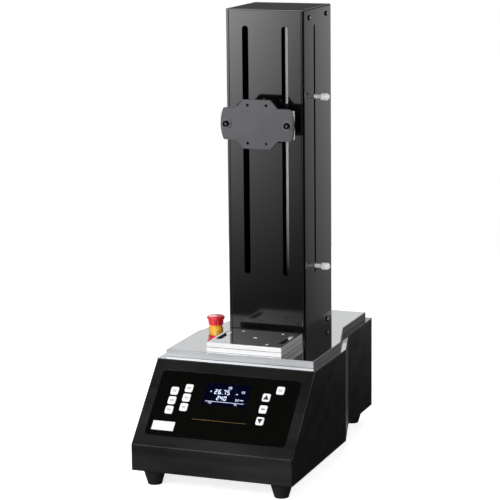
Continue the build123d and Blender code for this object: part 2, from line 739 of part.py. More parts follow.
def end_plate(z0, z1):
    """Column end plate between the sheets, drilled for rods, lead screw and side screws."""
    plate = box((-SIDE_IN, SIDE_IN), (CF + FRONT_T, CB - BACK_T), (z0, z1))
    plate -= [rod(s * ROD_X, AXIS_Y, z0 - 1, z1 + 1, ROD_R) for s in (-1, 1)]
    plate -= rod(0, AXIS_Y, z0 - 1, z1 + 1, SCREW_R + SCREW_CLEAR)
    reach = CH - PANEL_SCREW_BITE
    places = [(y, z) for y, z in panel_screw_places() if z0 < z < z1]
    return plate - [rod_x(s * reach, s * CH, y, z, PANEL_SCREW_R) for s in (-1, 1) for y, z in places]


def make_end_top():
    seat = END_TOP_Z - TOP_BEARING_T
    return end_plate(END_BASE_Z, END_TOP_Z) - rod(0, AXIS_Y, seat, END_TOP_Z + 1, TOP_BEARING_R)


def make_end_low():
    return end_plate(Z_PLATE, Z_PLATE + END_LOW_T)


def make_guide_rod(side):
    return rod(side * ROD_X, AXIS_Y, Z_PLATE, END_TOP_Z, ROD_R)


def make_bearings():
    """Lower bearing in the base plate and upper bearing in the end plate."""
    bore = JOURNAL_R + RUN_FIT
    low = ring(0, AXIS_Y, Z_TRIM, Z_TRIM + LOW_BEARING_T, LOW_BEARING_R, bore)
    return group([low, ring(0, AXIS_Y, END_TOP_Z - TOP_BEARING_T, END_TOP_Z, TOP_BEARING_R, bore)])


def make_lead_screw():
    """Lead screw with a shouldered journal at each end."""
    low = Z_TRIM + LOW_BEARING_T + SCREW_SHOULDER
    high = END_TOP_Z - TOP_BEARING_T - SCREW_SHOULDER
    screw = rod(0, AXIS_Y, low, high, SCREW_R)
    return screw + rod(0, AXIS_Y, BELT_LOW - HUB_L, END_TOP_Z, JOURNAL_R)


def tip_radius(teeth):
    return teeth * BELT_PITCH / (2 * pi) - TIP_DROP


def pulley(teeth, y, bore, lips):
    """Toothed pulley: trapezoid grooves cut round a disc, with a hub below."""
    tip = tip_radius(teeth)
    body = rod(0, 0, BELT_LOW, BELT_TOP, tip)
    out = (tip + 1, GROOVE_TOP)
    root = (tip - GROOVE_DEPTH, GROOVE_LOW)
    groove = make_face(Polyline(out, root, (root[0], -root[1]), (out[0], -out[1]), close=True))
    cut = prism(groove, BELT_LOW - 1, BELT_TOP + 1)
    body -= [Rot(0, 0, 360 * i / teeth) * cut for i in range(teeth)]
    if lips:
        body += rod(0, 0, BELT_LOW - PULLEY_RIM, BELT_LOW - BELT_FIT, tip + PULLEY_LIP)
        body += rod(0, 0, BELT_LOW - BELT_FIT, BELT_LOW, tip - GROOVE_DEPTH)
        body += rod(0, 0, BELT_TOP + BELT_FIT, BELT_TOP + PULLEY_RIM, tip + PULLEY_LIP)
        body += rod(0, 0, BELT_TOP, BELT_TOP + BELT_FIT, tip - GROOVE_DEPTH)
    body += rod(0, 0, BELT_LOW - HUB_L, BELT_LOW, HUB_R)
    return Pos(0, y, 0) * (body - rod(0, 0, BELT_LOW - LARGE, BELT_TOP + LARGE, bore))


def belt_face(grow):
    """Outline round both pulleys, set out from their tooth tips."""
    a = Pos(0, AXIS_Y) * Circle(tip_radius(SCREW_TEETH) + grow)
    b = Pos(0, AXIS_Y + MOTOR_Y) * Circle(tip_radius(MOTOR_TEETH) + grow)
    return make_hull(a.edges() + b.edges())


def make_belt():
    outer = prism(belt_face(BELT_FIT + BELT_T), BELT_LOW, BELT_TOP)
    return outer - prism(belt_face(BELT_FIT), BELT_LOW - 1, BELT_TOP + 1)


MOTOR_AXIS = AXIS_Y + MOTOR_Y
BRACKET_TOP = Z_WALL - BRACKET_DROP
SHAFT_GAP = 1.0


def make_bracket():
    """Motor plate hung from the trim sheet on four posts."""
    h = BRACKET_SIDE / 2
    plate = box((-h, h), (MOTOR_AXIS - h, MOTOR_AXIS + h), (BRACKET_TOP - BRACKET_T, BRACKET_TOP))
    plate = fillet(plate.edges().filter_by(Axis.Z), POST_R)
    place = h - POST_IN
    posts = [(a * place, MOTOR_AXIS + b * place) for a in (-1, 1) for b in (-1, 1)]
    plate += [rod(x, y, BRACKET_TOP, Z_WALL, POST_R) for x, y in posts]
    return plate - rod(0, MOTOR_AXIS, BRACKET_TOP - 2 * BRACKET_T, BRACKET_TOP + 1, SHAFT_R + SHAFT_GAP)


def make_motor():
    """Gear motor under the bracket, with the bore that its shaft turns in."""
    top = BRACKET_TOP - BRACKET_T
    motor = rod(0, MOTOR_AXIS, top - GEARBOX_L, top, GEARBOX_R)
    motor += rod(0, MOTOR_AXIS, top - GEARBOX_L - MOTOR_L, top - GEARBOX_L, MOTOR_R)
    return motor - rod(0, MOTOR_AXIS, top - GEARBOX_L / 2, top + 1, SHAFT_R + RUN_FIT)


def make_shaft():
    low = BRACKET_TOP - BRACKET_T - GEARBOX_L / 2 + SHAFT_GAP / 2
    return rod(0, MOTOR_AXIS, low, BELT_TOP, SHAFT_R)


def make_supply():
    y = REAR - INLET_BODY_L - SUPPLY_GAP
    low = FOOT_H + COVER_T
    case = box((-SUPPLY_W / 2, SUPPLY_W / 2), (y - SUPPLY_L, y), (low, low + SUPPLY_H))
    return fillet(case.edges().filter_by(Axis.Z), WALL)


LIMIT_X = SIDE_IN - LIMIT_GAP
LIMIT_Y = CF + SIDE_SLOT_Y
MICRO_X = LIMIT_X - LIMIT_T
MICRO_Y = CF + LIMIT_FRONT + LIMIT_W - MICRO_W / 2
MICRO_TIP_X = MICRO_X - MICRO_T - MICRO_PIN_L
BLOCK_FRONT = AXIS_Y - BLOCK_D / 2
BLOCK_LOW = CARR_Z - BLOCK_H / 2
BLOCK_TOP = CARR_Z + BLOCK_H / 2


def make_block():
    """Carriage block on both rods, bored for bushes and nut, with the limit switches' striker."""
    block = box((-BLOCK_W / 2, BLOCK_W / 2), (BLOCK_FRONT, BLOCK_FRONT + BLOCK_D), (BLOCK_LOW, BLOCK_TOP))
    block = fillet(block.edges().filter_by(Axis.Z), WALL)
    block -= [rod(s * ROD_X, AXIS_Y, BLOCK_LOW - 1, BLOCK_TOP + 1, BUSH_R) for s in (-1, 1)]
    block -= rod(0, AXIS_Y, BLOCK_LOW - 1, BLOCK_TOP + 1, NUT_R)
    back = BLOCK_FRONT + BLOCK_D
    x = MICRO_TIP_X - STRIKER_GAP
    high = (CARR_Z - STRIKER_H / 2, CARR_Z + STRIKER_H / 2)
    root = min(x - STRIKER_T, BLOCK_W / 2 - WALL)
    return block + box((root, x), (back - WALL, MICRO_Y), high)


def make_bush(side):
    return ring(side * ROD_X, AXIS_Y, BLOCK_LOW, BLOCK_TOP, BUSH_R, ROD_R + RUN_FIT)


def make_nut():
    """Flanged nut of the lead screw, bolted under the block."""
    nut = rod(0, AXIS_Y, BLOCK_LOW, BLOCK_TOP, NUT_R)
    nut += rod(0, AXIS_Y, BLOCK_LOW - NUT_FLANGE_T, BLOCK_LOW, NUT_FLANGE_R)
    return nut - rod(0, AXIS_Y, BLOCK_LOW - LARGE, BLOCK_TOP + LARGE, SCREW_R + RUN_FIT)


GAUGE_Y = CF - GAUGE_OUT
ADAPTER_Y = GAUGE_Y + GAUGE_T
ARM_Y = ADAPTER_Y + ADAPTER_T


def make_arm(side):
    """Arm with round edges that runs in one front slot."""
    low = CARR_Z - ARM_H / 2
    return upright_slot(side * SLOT_X, SLOT_W - 2 * ARM_FIT, low, low + ARM_H, ARM_Y, BLOCK_FRONT)


def front_face(outline, y, depth):
    """Raise an outline drawn in X and Z backwards from a plane that faces front."""
    face = Plane(origin=(0, y + depth, CARR_Z), x_dir=(1, 0, 0), z_dir=(0, -1, 0)).location
    return face * extrude(outline, amount=depth, dir=(0, 0, 1))


def gauge_outline():
    """Cross-shaped plate: straight neck ends, sloped shoulders, bowed side ends."""
    neck = GAUGE_NECK_W / 2
    shoulder = GAUGE_SHOULDER_W / 2
    top = GAUGE_H / 2
    lobe = GAUGE_LOBE_H / 2
    end = GAUGE_LOBE_W / 2
    half = [(end, lobe), (shoulder, lobe), (neck, top)]
    upper = half + [(-x, z) for x, z in reversed(half)]
    with BuildSketch() as sketch:
        with BuildLine():
            Polyline(*upper)
            ThreePointArc((-end, lobe), (-GAUGE_W / 2, 0), (-end, -lobe))
            Polyline(*[(x, -z) for x, z in upper])
            ThreePointArc((end, -lobe), (GAUGE_W / 2, 0), (end, lobe))
        make_face()
        tips = [v for v in sketch.vertices() if abs(abs(v.X) - end) < 0.01]
        fillet(tips, GAUGE_CORNER_R)
    return sketch.sketch


def make_gauge_plate():
    """Plate that takes the force gauge, with its four holes."""
    plate = front_face(gauge_outline(), GAUGE_Y, GAUGE_T)
    reach = (GAUGE_Y - 1, GAUGE_Y + GAUGE_T + 1)
    holes = [(a * GAUGE_HOLE_X / 2, CARR_Z + b * GAUGE_HOLE_Z / 2) for a in (-1, 1) for b in (-1, 1)]
    plate -= [rod_y(x, *reach, z, GAUGE_HOLE_R) for x, z in holes]
    return plate - [rod_y(s * GAUGE_SCREW_X, *reach, CARR_Z, GAUGE_SCREW_R + SCREW_FIT) for s in (-1, 1)]


def make_adapter():
    """Bright plate between the arms and the gauge plate."""
    plate = front_face(Rectangle(ADAPTER_W, ADAPTER_H), ADAPTER_Y, ADAPTER_T)
    reach = (ADAPTER_Y - 1, ARM_Y + 1)
    return plate - [rod_y(s * GAUGE_SCREW_X, *reach, CARR_Z, GAUGE_SCREW_R) for s in (-1, 1)]


def make_gauge_screw(side):
    """Socket cap screw with its hexagon recess."""
    x = side * GAUGE_SCREW_X
    seat = GAUGE_Y - WASHER_T
    screw = rod_y(x, seat - GAUGE_HEAD_H, seat, CARR_Z, GAUGE_HEAD_R)
    screw += rod_y(x, seat, ARM_Y, CARR_Z, GAUGE_SCREW_R)
    top = seat - GAUGE_HEAD_H
    face = Plane(origin=(x, top, CARR_Z), x_dir=(1, 0, 0), z_dir=(0, 1, 0)).location
    return screw - face * extrude(RegularPolygon(GAUGE_HEX_R, 6), amount=GAUGE_HEX_H, dir=(0, 0, 1))


def make_washer(side):
    x = side * GAUGE_SCREW_X
    washer = rod_y(x, GAUGE_Y - WASHER_T, GAUGE_Y, CARR_Z, WASHER_R)
    return washer - rod_y(x, GAUGE_Y - 2 * WASHER_T, GAUGE_Y + 1, CARR_Z, GAUGE_SCREW_R + SCREW_FIT)


def make_limit_block(z):
    """Clamp block behind the side slot, threaded for its thumb screw."""
    y = CF + LIMIT_FRONT
    block = box((LIMIT_X - LIMIT_T, LIMIT_X), (y, y + LIMIT_W), (z - LIMIT_H / 2, z + LIMIT_H / 2))
    block = fillet(block.edges().filter_by(Axis.X), WALL)
    return block - rod_x(LIMIT_X - LIMIT_T - 1, LIMIT_X + 1, LIMIT_Y, z, KNOB_THREAD_R + RUN_FIT)


def make_micro_switch(z):
    """Switch on the clamp block, behind the carriage, with its plunger."""
    deep = (MICRO_Y - MICRO_W / 2, MICRO_Y + MICRO_W / 2)
    body = box((MICRO_X - MICRO_T, MICRO_X), deep, (z - MICRO_H / 2, z + MICRO_H / 2))
    return body + rod_x(MICRO_TIP_X, MICRO_X - MICRO_T, MICRO_Y, z, MICRO_PIN_R)


def make_knob(z):
    """Thumb screw: thread through the slot, plain neck and round head."""
    neck = CH + LIMIT_GAP
    head = neck + KNOB_SHAFT_L
    knob = rod_x(head, head + KNOB_L, LIMIT_Y, z, KNOB_R)
    knob = chamfer(knob.edges().filter_by(GeomType.CIRCLE), KNOB_EDGE)
    knob += rod_x(neck, head, LIMIT_Y, z, KNOB_SHAFT_R)
    return knob + rod_x(LIMIT_X - LIMIT_T, neck, LIMIT_Y, z, KNOB_THREAD_R)


INLET_Z = FOOT_H + INLET_UP


def make_inlet():
    """Power inlet: flange, body, socket with three blades and the rocker's frame."""
    flange = box((INLET_X - INLET_W / 2, INLET_X + INLET_W / 2), (REAR, REAR + INLET_FLANGE_T),
                 (INLET_Z - INLET_H / 2, INLET_Z + INLET_H / 2))
    flange = fillet(flange.edges().filter_by(Axis.Y), WALL)
    w = INLET_BODY_W / 2
    h = INLET_BODY_H / 2
    inlet = flange + box((INLET_X - w, INLET_X + w), (REAR - INLET_BODY_L, REAR), (INLET_Z - h, INLET_Z + h))
    mouth = REAR + INLET_FLANGE_T
    x = INLET_X + SOCKET_X
    inlet -= box((x - SOCKET_W / 2, x + SOCKET_W / 2), (mouth - SOCKET_L, mouth + 1),
                 (INLET_Z - SOCKET_H / 2, INLET_Z + SOCKET_H / 2))
    floor = mouth - SOCKET_L
    for dx, dz in ((-BLADE_X, -BLADE_Z), (BLADE_X, -BLADE_Z), (0, BLADE_Z)):
        z = INLET_Z + dz
        inlet += box((x + dx - BLADE_T / 2, x + dx + BLADE_T / 2), (floor - 1, floor + BLADE_L),
                     (z - BLADE_H / 2, z + BLADE_H / 2))
    x = INLET_X + ROCKER_X
    w = ROCKER_W / 2 + ROCKER_FIT
    h = ROCKER_H / 2 + ROCKER_FIT
    inlet -= box((x - w, x + w), (mouth - ROCKER_L - ROCKER_FIT, mouth + 1), (INLET_Z - h, INLET_Z + h))
    return inlet + rod_x(x - w, x + w, mouth - PIVOT_IN, INLET_Z, PIVOT_R)


def make_rocker():
    """Rocker on the frame's pivot, tilted to its off side."""
    half = ROCKER_H / 2 - ROCKER_FIT
    low = half - ROCKER_TAPER
    pts = [(ROCKER_FACE, half), (0, half), (-ROCKER_DEEP, low)]
    pts += [(y, -z) for y, z in reversed(pts)]
    section = Plane(origin=(-ROCKER_W / 2, 0, 0), x_dir=(0, 1, 0), z_dir=(1, 0, 0)).location
    key = section * extrude(make_face(Polyline(*pts, close=True)), amount=ROCKER_W, dir=(0, 0, 1))
    key -= rod_x(-ROCKER_W, ROCKER_W, 0, 0, PIVOT_R + RUN_FIT)
    return Pos(INLET_X + ROCKER_X, REAR + INLET_FLANGE_T - PIVOT_IN, INLET_Z) * Rot(-ROCKER_TILT, 0, 0) * key


# Base
save("base_housing", make_housing())
save("bottom_cover", make_cover())
save("rubber_feet", group([make_foot(x, y) for x, y in FEET]))
screws = [make_foot_screw(x, y) for x, y in FEET]
screws += [make_cover_screw(x, y) for x, y in COVER_SCREWS]
screws += [make_plate_screw(x, y) for x, y in PLATE_SCREWS]
save("base_screws", group(screws))
save("trim_sheet", make_trim())
save("base_plate", make_plate())
save("table_low_plate", make_table_low())
save("table_top_plate", make_table_top())
save("table_clamp_screws", group([make_clamp_screw(s) for s in (-1, 1)]))

# Emergency stop
save("stop_collar", make_stop_collar())
save("stop_stem", make_stop_stem())
save("stop_head", make_stop_head())
save("stop_contacts", group([make_stop_nut(), make_stop_block()]))

# Console
save("console_overlay", make_overlay())
save("display_window", make_lcd_window())
save("display_module", make_lcd_module())
fittings = [make_standoff(u, v) for u, v in standoff_places()]
fittings += [make_switch(u, v) for u, v in KEYS.values()]
save("control_board", group([make_board()] + fittings))
for name, (u, v) in KEYS.items():
    save(name, make_key(u, v))

# Power
save("power_inlet", make_inlet())
save("power_rocker", make_rocker())
save("power_supply", make_supply())

# Column
save("column_front", make_column_front())
save("column_left", make_column_side(-1))
save("column_right", make_column_side(1))
save("column_back", make_column_back())
save("column_lid", make_column_lid())
save("column_screws", group([make_panel_screw(s, y, z) for s in (-1, 1) for y, z in panel_screw_places()]))
save("end_plate_top", make_end_top())
save("end_plate_low", make_end_low())
save("guide_rods", group([make_guide_rod(s) for s in (-1, 1)]))

# Drive
save("screw_bearings", make_bearings())
save("lead_screw", make_lead_screw())
save("screw_pulley", pulley(SCREW_TEETH, AXIS_Y, JOURNAL_R, False))
save("drive_belt", make_belt())
save("motor_pulley", group([pulley(MOTOR_TEETH, MOTOR_AXIS, SHAFT_R, True), make_shaft()]))
save("motor_bracket", make_bracket())
save("gear_motor", make_motor())

# Carriage
save("carriage_block", make_block())
save("linear_bushes", group([make_bush(s) for s in (-1, 1)]))
save("screw_nut", make_nut())
save("carriage_arms", group([make_arm(s) for s in (-1, 1)]))
save("adapter_plate", make_adapter())
save("gauge_plate", make_gauge_plate())
save("gauge_screws", group([make(s) for s in (-1, 1) for make in (make_gauge_screw, make_washer)]))

# Limit stops
for place, height in LIMITS.items():
    z = Z_PLATE + height
    save("limit_block_" + place, make_limit_block(z))
    save("limit_switch_" + place, make_micro_switch(z))
    save("limit_knob_" + place, make_knob(z))
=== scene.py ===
import json
import math

import bmesh
import bpy
from mathutils import Matrix, Vector


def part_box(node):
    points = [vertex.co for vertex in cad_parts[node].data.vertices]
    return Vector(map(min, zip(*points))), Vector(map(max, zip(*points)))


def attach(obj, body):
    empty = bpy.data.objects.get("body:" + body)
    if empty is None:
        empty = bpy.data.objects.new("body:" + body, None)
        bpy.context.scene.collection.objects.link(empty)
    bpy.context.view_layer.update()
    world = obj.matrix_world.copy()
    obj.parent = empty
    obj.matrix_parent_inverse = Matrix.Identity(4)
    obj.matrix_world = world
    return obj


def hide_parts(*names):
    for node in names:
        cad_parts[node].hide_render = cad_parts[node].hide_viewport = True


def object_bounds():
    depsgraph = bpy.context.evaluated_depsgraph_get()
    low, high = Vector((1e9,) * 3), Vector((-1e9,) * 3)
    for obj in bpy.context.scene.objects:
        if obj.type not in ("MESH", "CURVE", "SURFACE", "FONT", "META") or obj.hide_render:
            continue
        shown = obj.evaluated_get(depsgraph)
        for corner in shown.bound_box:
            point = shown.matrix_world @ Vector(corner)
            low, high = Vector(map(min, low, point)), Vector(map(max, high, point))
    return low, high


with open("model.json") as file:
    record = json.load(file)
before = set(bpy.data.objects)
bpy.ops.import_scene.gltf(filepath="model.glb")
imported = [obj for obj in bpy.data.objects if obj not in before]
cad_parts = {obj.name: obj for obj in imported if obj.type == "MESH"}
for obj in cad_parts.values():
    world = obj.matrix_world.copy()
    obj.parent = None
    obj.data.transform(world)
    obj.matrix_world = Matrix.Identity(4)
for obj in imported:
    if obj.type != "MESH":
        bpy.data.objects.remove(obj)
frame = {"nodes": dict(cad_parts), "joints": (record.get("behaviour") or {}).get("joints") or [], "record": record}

CAD_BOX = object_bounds()
MM = 0.001
NODES = frame["nodes"]
SLOT_OF = {p["node"]: p["material_slot"] for p in frame["record"]["subparts"]}
JOINTS = {j["name"]: j for j in frame["joints"]}

# Camera, as fitted to the photograph
CAMERA_AIM = Vector((-0.0139, CAD_BOX[0].y + 0.1967, 0.3073))
CAMERA_DISTANCE = 2.996
CAMERA_AZIMUTH = math.radians(21.08)
CAMERA_ELEVATION = math.radians(11.35)
CAMERA_ROLL = math.radians(-0.63)
CAMERA_LENS = 149.4
CAMERA_SENSOR = 36.0

# Console: the overlay's middle, its outward normal and the direction up the slope
OVERLAY_LOW, OVERLAY_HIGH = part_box("console_overlay")
CONSOLE_MID = (OVERLAY_LOW + OVERLAY_HIGH) / 2
CONSOLE_NORMAL = -Vector(JOINTS["key_up_press"]["axis"]).normalized()
CONSOLE_UP = Vector((0, CONSOLE_NORMAL.z, -CONSOLE_NORMAL.y))
OVERLAY_HALF_T = 0.65 * MM
KEY_PROUD = 0.5 * MM
WINDOW_HALF_T = 0.65 * MM
DISPLAY_GAP = 0.2 * MM
PRINT_T = 0.06 * MM


# Shader nodes


def calculated(tree, operation, *values, kind="ShaderNodeMath", output=0):
    """Output of a math node on linked or plain values."""
    node = tree.nodes.new(kind)
    node.operation = operation
    for socket, value in zip(node.inputs, values):
        if isinstance(value, bpy.types.NodeSocket):
            tree.links.new(value, socket)
        else:
            socket.default_value = value
    return node.outputs[output]


def vector_math(tree, operation, *values):
    """Output of a vector math node on linked or plain values."""
    return calculated(tree, operation, *values, kind="ShaderNodeVectorMath", output="Vector")


def mapped(tree, value, start, end, low, high):
    """Linked value, mapped from one range to another and kept inside it."""
    node = tree.nodes.new("ShaderNodeMapRange")
    for key, number in (("From Min", start), ("From Max", end), ("To Min", low), ("To Max", high)):
        node.inputs[key].default_value = number
    tree.links.new(value, node.inputs["Value"])
    return node.outputs["Result"]


def parted(tree, value):
    """Outputs X, Y and Z of a linked vector."""
    node = tree.nodes.new("ShaderNodeSeparateXYZ")
    tree.links.new(value, node.inputs["Vector"])
    return node.outputs


# Materials

# Stretch of a texture, with small numbers along the streaks
ALONG_X = (0.04, 1, 1)
ROUND_Z = (0.02, 0.02, 1)
ROUND_X = (1, 0.02, 0.02)
EVEN = (1, 1, 1)
SHEEN = (0.35, 1, 1.6)
# Range of a noise texture's values, of normals that turn toward an axis, and of open space at a point
NOISE_RANGE = (0.3, 0.7)
FACING_RANGE = (0.6, 0.9)
OPEN_RANGE = (0.45, 0.8)
# Height of tool marks, radius of the shaded corners, and reach of the painted shade in tight corners
TOOL_MARK = 0.004 * MM
PAINT_EDGE = 0.5 * MM
PLATE_EDGE = 0.4 * MM
SHEET_EDGE = 0.3 * MM
METAL_EDGE = 0.25 * MM
PLASTIC_EDGE = 0.2 * MM
CORNER_REACH = 2 * MM
GLOSS_BLACK = (0.002, 0.002, 0.0021)


def shade(colour, factor):
    """A colour made darker or paler, up to white."""
    return tuple(min(1.0, c * factor) for c in colour)


class Surface:
    """A node material: a principled shader with textures in metres of the object's own frame."""

    def __init__(self, name):
        self.material = bpy.data.materials.new(name)
        self.material.use_nodes = True
        self.tree = self.material.node_tree
        self.shader = self.tree.nodes["Principled BSDF"]
        self.coords = self.add("ShaderNodeTexCoord").outputs["Object"]

    def add(self, kind, **settings):
        node = self.tree.nodes.new(kind)
        for key, value in settings.items():
            setattr(node, key, value)
        return node

    def link(self, source, target):
        self.tree.links.new(source, target)

    def set(self, **values):
        """Constant shader sockets, by name with _ for a space."""
        for key, value in values.items():
            self.shader.inputs[key.replace("_", " ")].default_value = value

    def textured(self, kind, stretch, **values):
        """Texture node on the object's own coordinates, stretched."""
        mapping = self.add("ShaderNodeMapping")
        mapping.inputs["Scale"].default_value = stretch
        self.link(self.coords, mapping.inputs["Vector"])
        node = self.add(kind)
        for key, value in values.items():
            node.inputs[key].default_value = value
        self.link(mapping.outputs["Vector"], node.inputs["Vector"])
        return node

    def noise(self, scale, detail=3.0, stretch=EVEN):
        return self.textured("ShaderNodeTexNoise", stretch, Scale=scale, Detail=detail).outputs["Fac"]

    def cells(self, scale, stretch=EVEN):
        return self.textured("ShaderNodeTexVoronoi", stretch, Scale=scale).outputs["Distance"]

    def ranged(self, value, low, high, start=NOISE_RANGE[0], end=NOISE_RANGE[1]):
        """Map a texture value to a range."""
        return mapped(self.tree, value, start, end, low, high)

    def mix(self, factor, first, second):
        """Blend of two colours, each linked or plain, by a texture value."""
        node = self.add("ShaderNodeMix", data_type="RGBA")
        self.link(factor, node.inputs[0])
        for socket, colour in ((node.inputs[6], first), (node.inputs[7], second)):
            if isinstance(colour, tuple):
                socket.default_value = (*colour, 1)
            else:
                self.link(colour, socket)
        return node.outputs[2]

    def shades(self, factor, colour, low, high):
        """A colour made darker or paler by a texture value."""
        return self.mix(factor, shade(colour, low), shade(colour, high))

    def colour(self, tone):
        self.link(tone, self.shader.inputs["Base Color"])

    def roughness(self, value, low, high):
        self.link(self.ranged(value, low, high), self.shader.inputs["Roughness"])

    def bump(self, value, height, edge=0.0):
        """Raise the surface by a texture value; edge rounds the shaded corners by that radius."""
        node = self.add("ShaderNodeBump")
        node.inputs["Distance"].default_value = height
        node.inputs["Strength"].default_value = 1.0
        self.link(value, node.inputs["Height"])
        if edge:
            bevel = self.add("ShaderNodeBevel", samples=4)
            bevel.inputs["Radius"].default_value = edge
            self.link(bevel.outputs["Normal"], node.inputs["Normal"])
        self.link(node.outputs["Normal"], self.shader.inputs["Normal"])

    def facing(self, axis):
        """How far the surface faces along an axis of the shared frame, from 0 to 1."""
        normal = self.add("ShaderNodeNewGeometry").outputs["Normal"]
        return self.ranged(parted(self.tree, normal)[axis], 0.0, 1.0, *FACING_RANGE)

    def within(self, low, high):
        """1 inside a box of the object's own frame, 0 outside it."""
        off = vector_math(self.tree, "SUBTRACT", self.coords, (low + high) / 2)
        off = vector_math(self.tree, "SUBTRACT", vector_math(self.tree, "ABSOLUTE", off), (high - low) / 2)
        axes = parted(self.tree, off)
        farthest = calculated(self.tree, "MAXIMUM", axes["X"], axes["Y"])
        farthest = calculated(self.tree, "MAXIMUM", farthest, axes["Z"])
        return calculated(self.tree, "LESS_THAN", farthest, 0.0)

    def crowded(self, reach):
        """1 in tight corners, 0 where the surface is open within the reach."""
        node = self.add("ShaderNodeAmbientOcclusion", samples=8)
        node.inputs["Distance"].default_value = reach
        return self.ranged(node.outputs["AO"], 1.0, 0.0, *OPEN_RANGE)


def painted(name, colour, rough, grain, height, coat=0.0, coat_rough=0.05, specular=0.5, edge=PAINT_EDGE,
            matt=()):
    """Sprayed paint: fine orange peel and streaky sheen; matt in a box of cut edges."""
    s = Surface(name)
    cloud = s.noise(scale=9.0, detail=5.0)
    peel = s.noise(grain, detail=2.0)
    s.colour(s.shades(cloud, colour, 0.8, 1.25))
    s.roughness(cloud, rough - 0.04, rough + 0.04)
    s.bump(peel, height, edge)
    s.set(Coat_Weight=coat, Coat_Roughness=coat_rough, Specular_IOR_Level=specular)
    if specular:
        sheen = s.noise(scale=26.0, detail=5.0, stretch=SHEEN)
        s.link(s.ranged(sheen, specular * 0.55, specular * 1.6), s.shader.inputs["Specular IOR Level"])
    if matt:
        s.link(s.ranged(s.within(*matt), coat, 0.0, 0.0, 1.0), s.shader.inputs["Coat Weight"])
    return s.material


def glossed(name, coat_rough=0.06, matt=()):
    """Gloss black of the column's sheets."""
    return painted(name, GLOSS_BLACK, rough=0.4, grain=700.0, height=0.0012 * MM, coat=1.0,
                   coat_rough=coat_rough, specular=0.0, edge=METAL_EDGE, matt=matt)


def polished(name, colour, side, metal_side, painted_shade_boxes=(), right_painted_shade=0.0, rough_top=0.05, rough_side=0.4):
    """Polished plate with faint grinding streaks: mirror faces up, and milled edges, right faces, corners and
    boxes with painted light and shade.
    """
    s = Surface(name)
    lines = s.noise(scale=900.0, stretch=ALONG_X)
    cloud = s.noise(scale=14.0, detail=4.0)
    up = s.facing("Z")
    # Edges in a colour of their own: painted shade where darker than the faces, painted light where paler
    tone = s.mix(up, s.shades(cloud, side, 0.95, 1.04), s.shades(cloud, colour, 0.95, 1.04))
    # Painted shade on faces that turn toward +X
    if right_painted_shade:
        right = s.ranged(s.facing("X"), 0.0, right_painted_shade, 0.0, 1.0)
        tone = s.mix(right, tone, shade(colour, 0.04))
    # Painted shade in tight corners
    tone = s.mix(s.crowded(CORNER_REACH), tone, shade(colour, 0.1))
    # Painted shade in boxes: slots, seams and the trim's rear half
    for low, high, level in painted_shade_boxes:
        tone = s.mix(s.within(low, high), tone, shade(colour, level))
    s.colour(tone)
    rough = s.add("ShaderNodeMix", data_type="FLOAT")
    s.link(up, rough.inputs[0])
    s.link(s.ranged(lines, rough_side * 0.8, rough_side * 1.2), rough.inputs[2])
    s.link(s.ranged(lines, rough_top * 0.7, rough_top * 1.3), rough.inputs[3])
    s.link(rough.outputs[0], s.shader.inputs["Roughness"])
    s.set(Metallic=metal_side)
    if metal_side < 1.0:
        s.link(s.ranged(up, metal_side, 1.0, 0.0, 1.0), s.shader.inputs["Metallic"])
    s.bump(lines, 0.001 * MM, PLATE_EDGE)
    return s.material


def metal(name, colour, rough, grain, streak, height=TOOL_MARK, spread=0.06, metallic=1.0):
    """Plain metal with directional tool marks."""
    s = Surface(name)
    lines = s.noise(grain, stretch=streak)
    cloud = s.noise(scale=40.0, detail=4.0)
    s.colour(s.shades(cloud, colour, 0.85, 1.1))
    s.roughness(lines, rough - spread, rough + spread)
    s.bump(lines, height, METAL_EDGE)
    s.set(Metallic=metallic)
    return s.material


def graded_rods(name, bright, shade_tone, rise, painted_shade_boxes):
    """Ground rods, paler toward their upper ends as a painted reflection and darker toward their lower ends, with
    painted shade in boxes.
    """
    s = Surface(name)
    lines = s.noise(scale=2500.0, stretch=ROUND_Z)
    # Painted reflection: from the shaded tone low down to the lit tone higher up
    tone = s.mix(s.ranged(parted(s.tree, s.coords)["Z"], 0.0, 1.0, *rise), shade_tone, bright)
    # Painted shade on the rods' left flanks
    for low, high in painted_shade_boxes:
        tone = s.mix(s.within(low, high), tone, shade_tone)
    s.colour(tone)
    s.roughness(lines, 0.34, 0.46)
    s.bump(lines, TOOL_MARK, METAL_EDGE)
    s.set(Metallic=0.12)
    return s.material


def cap_screws(name, screw, pale_boxes):
    """Blackened cap screws, paler in boxes round their washers, and pale in their sockets as a painted glint."""
    s = Surface(name)
    fine = s.noise(scale=1500.0)
    tone = s.shades(fine, screw, 0.8, 1.2)
    for low, high, pale in pale_boxes:
        tone = s.mix(s.within(low, high), tone, s.shades(fine, pale, 0.85, 1.1))
    s.colour(tone)
    s.roughness(fine, 0.36, 0.46)
    s.bump(fine, TOOL_MARK, SHEET_EDGE)
    s.set(Specular_IOR_Level=0.02)
    return s.material


def plastic(name, colour, rough, grain, height, specular=0.5, coat=0.0, vary=0.1):
    """Moulded plastic or rubber with a fine grain."""
    s = Surface(name)
    cloud = s.noise(scale=60.0, detail=4.0)
    fine = s.noise(grain, detail=2.0)
    s.colour(s.shades(cloud, colour, 1 - vary, 1 + vary))
    s.roughness(fine, rough - 0.05, rough + 0.05)
    s.bump(fine, height, PLASTIC_EDGE)
    s.set(Specular_IOR_Level=specular, Coat_Weight=coat)
    return s.material


def spangled(name, colour):
    """Zinc-dipped sheet with crystal spangle."""
    s = Surface(name)
    cell = s.cells(scale=160.0)
    s.colour(s.shades(cell, colour, 0.8, 1.15))
    s.roughness(cell, 0.28, 0.5)
    s.bump(s.noise(scale=1500.0), TOOL_MARK, SHEET_EDGE)
    s.set(Metallic=1.0)
    return s.material


def circuit(name, colour):
    """Solder mask over a grid of tracks."""
    s = Surface(name)
    cell = s.cells(scale=260.0, stretch=(1, 0.4, 0.4))
    s.colour(s.shades(cell, colour, 1.8, 0.7))
    s.roughness(cell, 0.3, 0.45)
    s.bump(cell, 0.03 * MM)
    return s.material


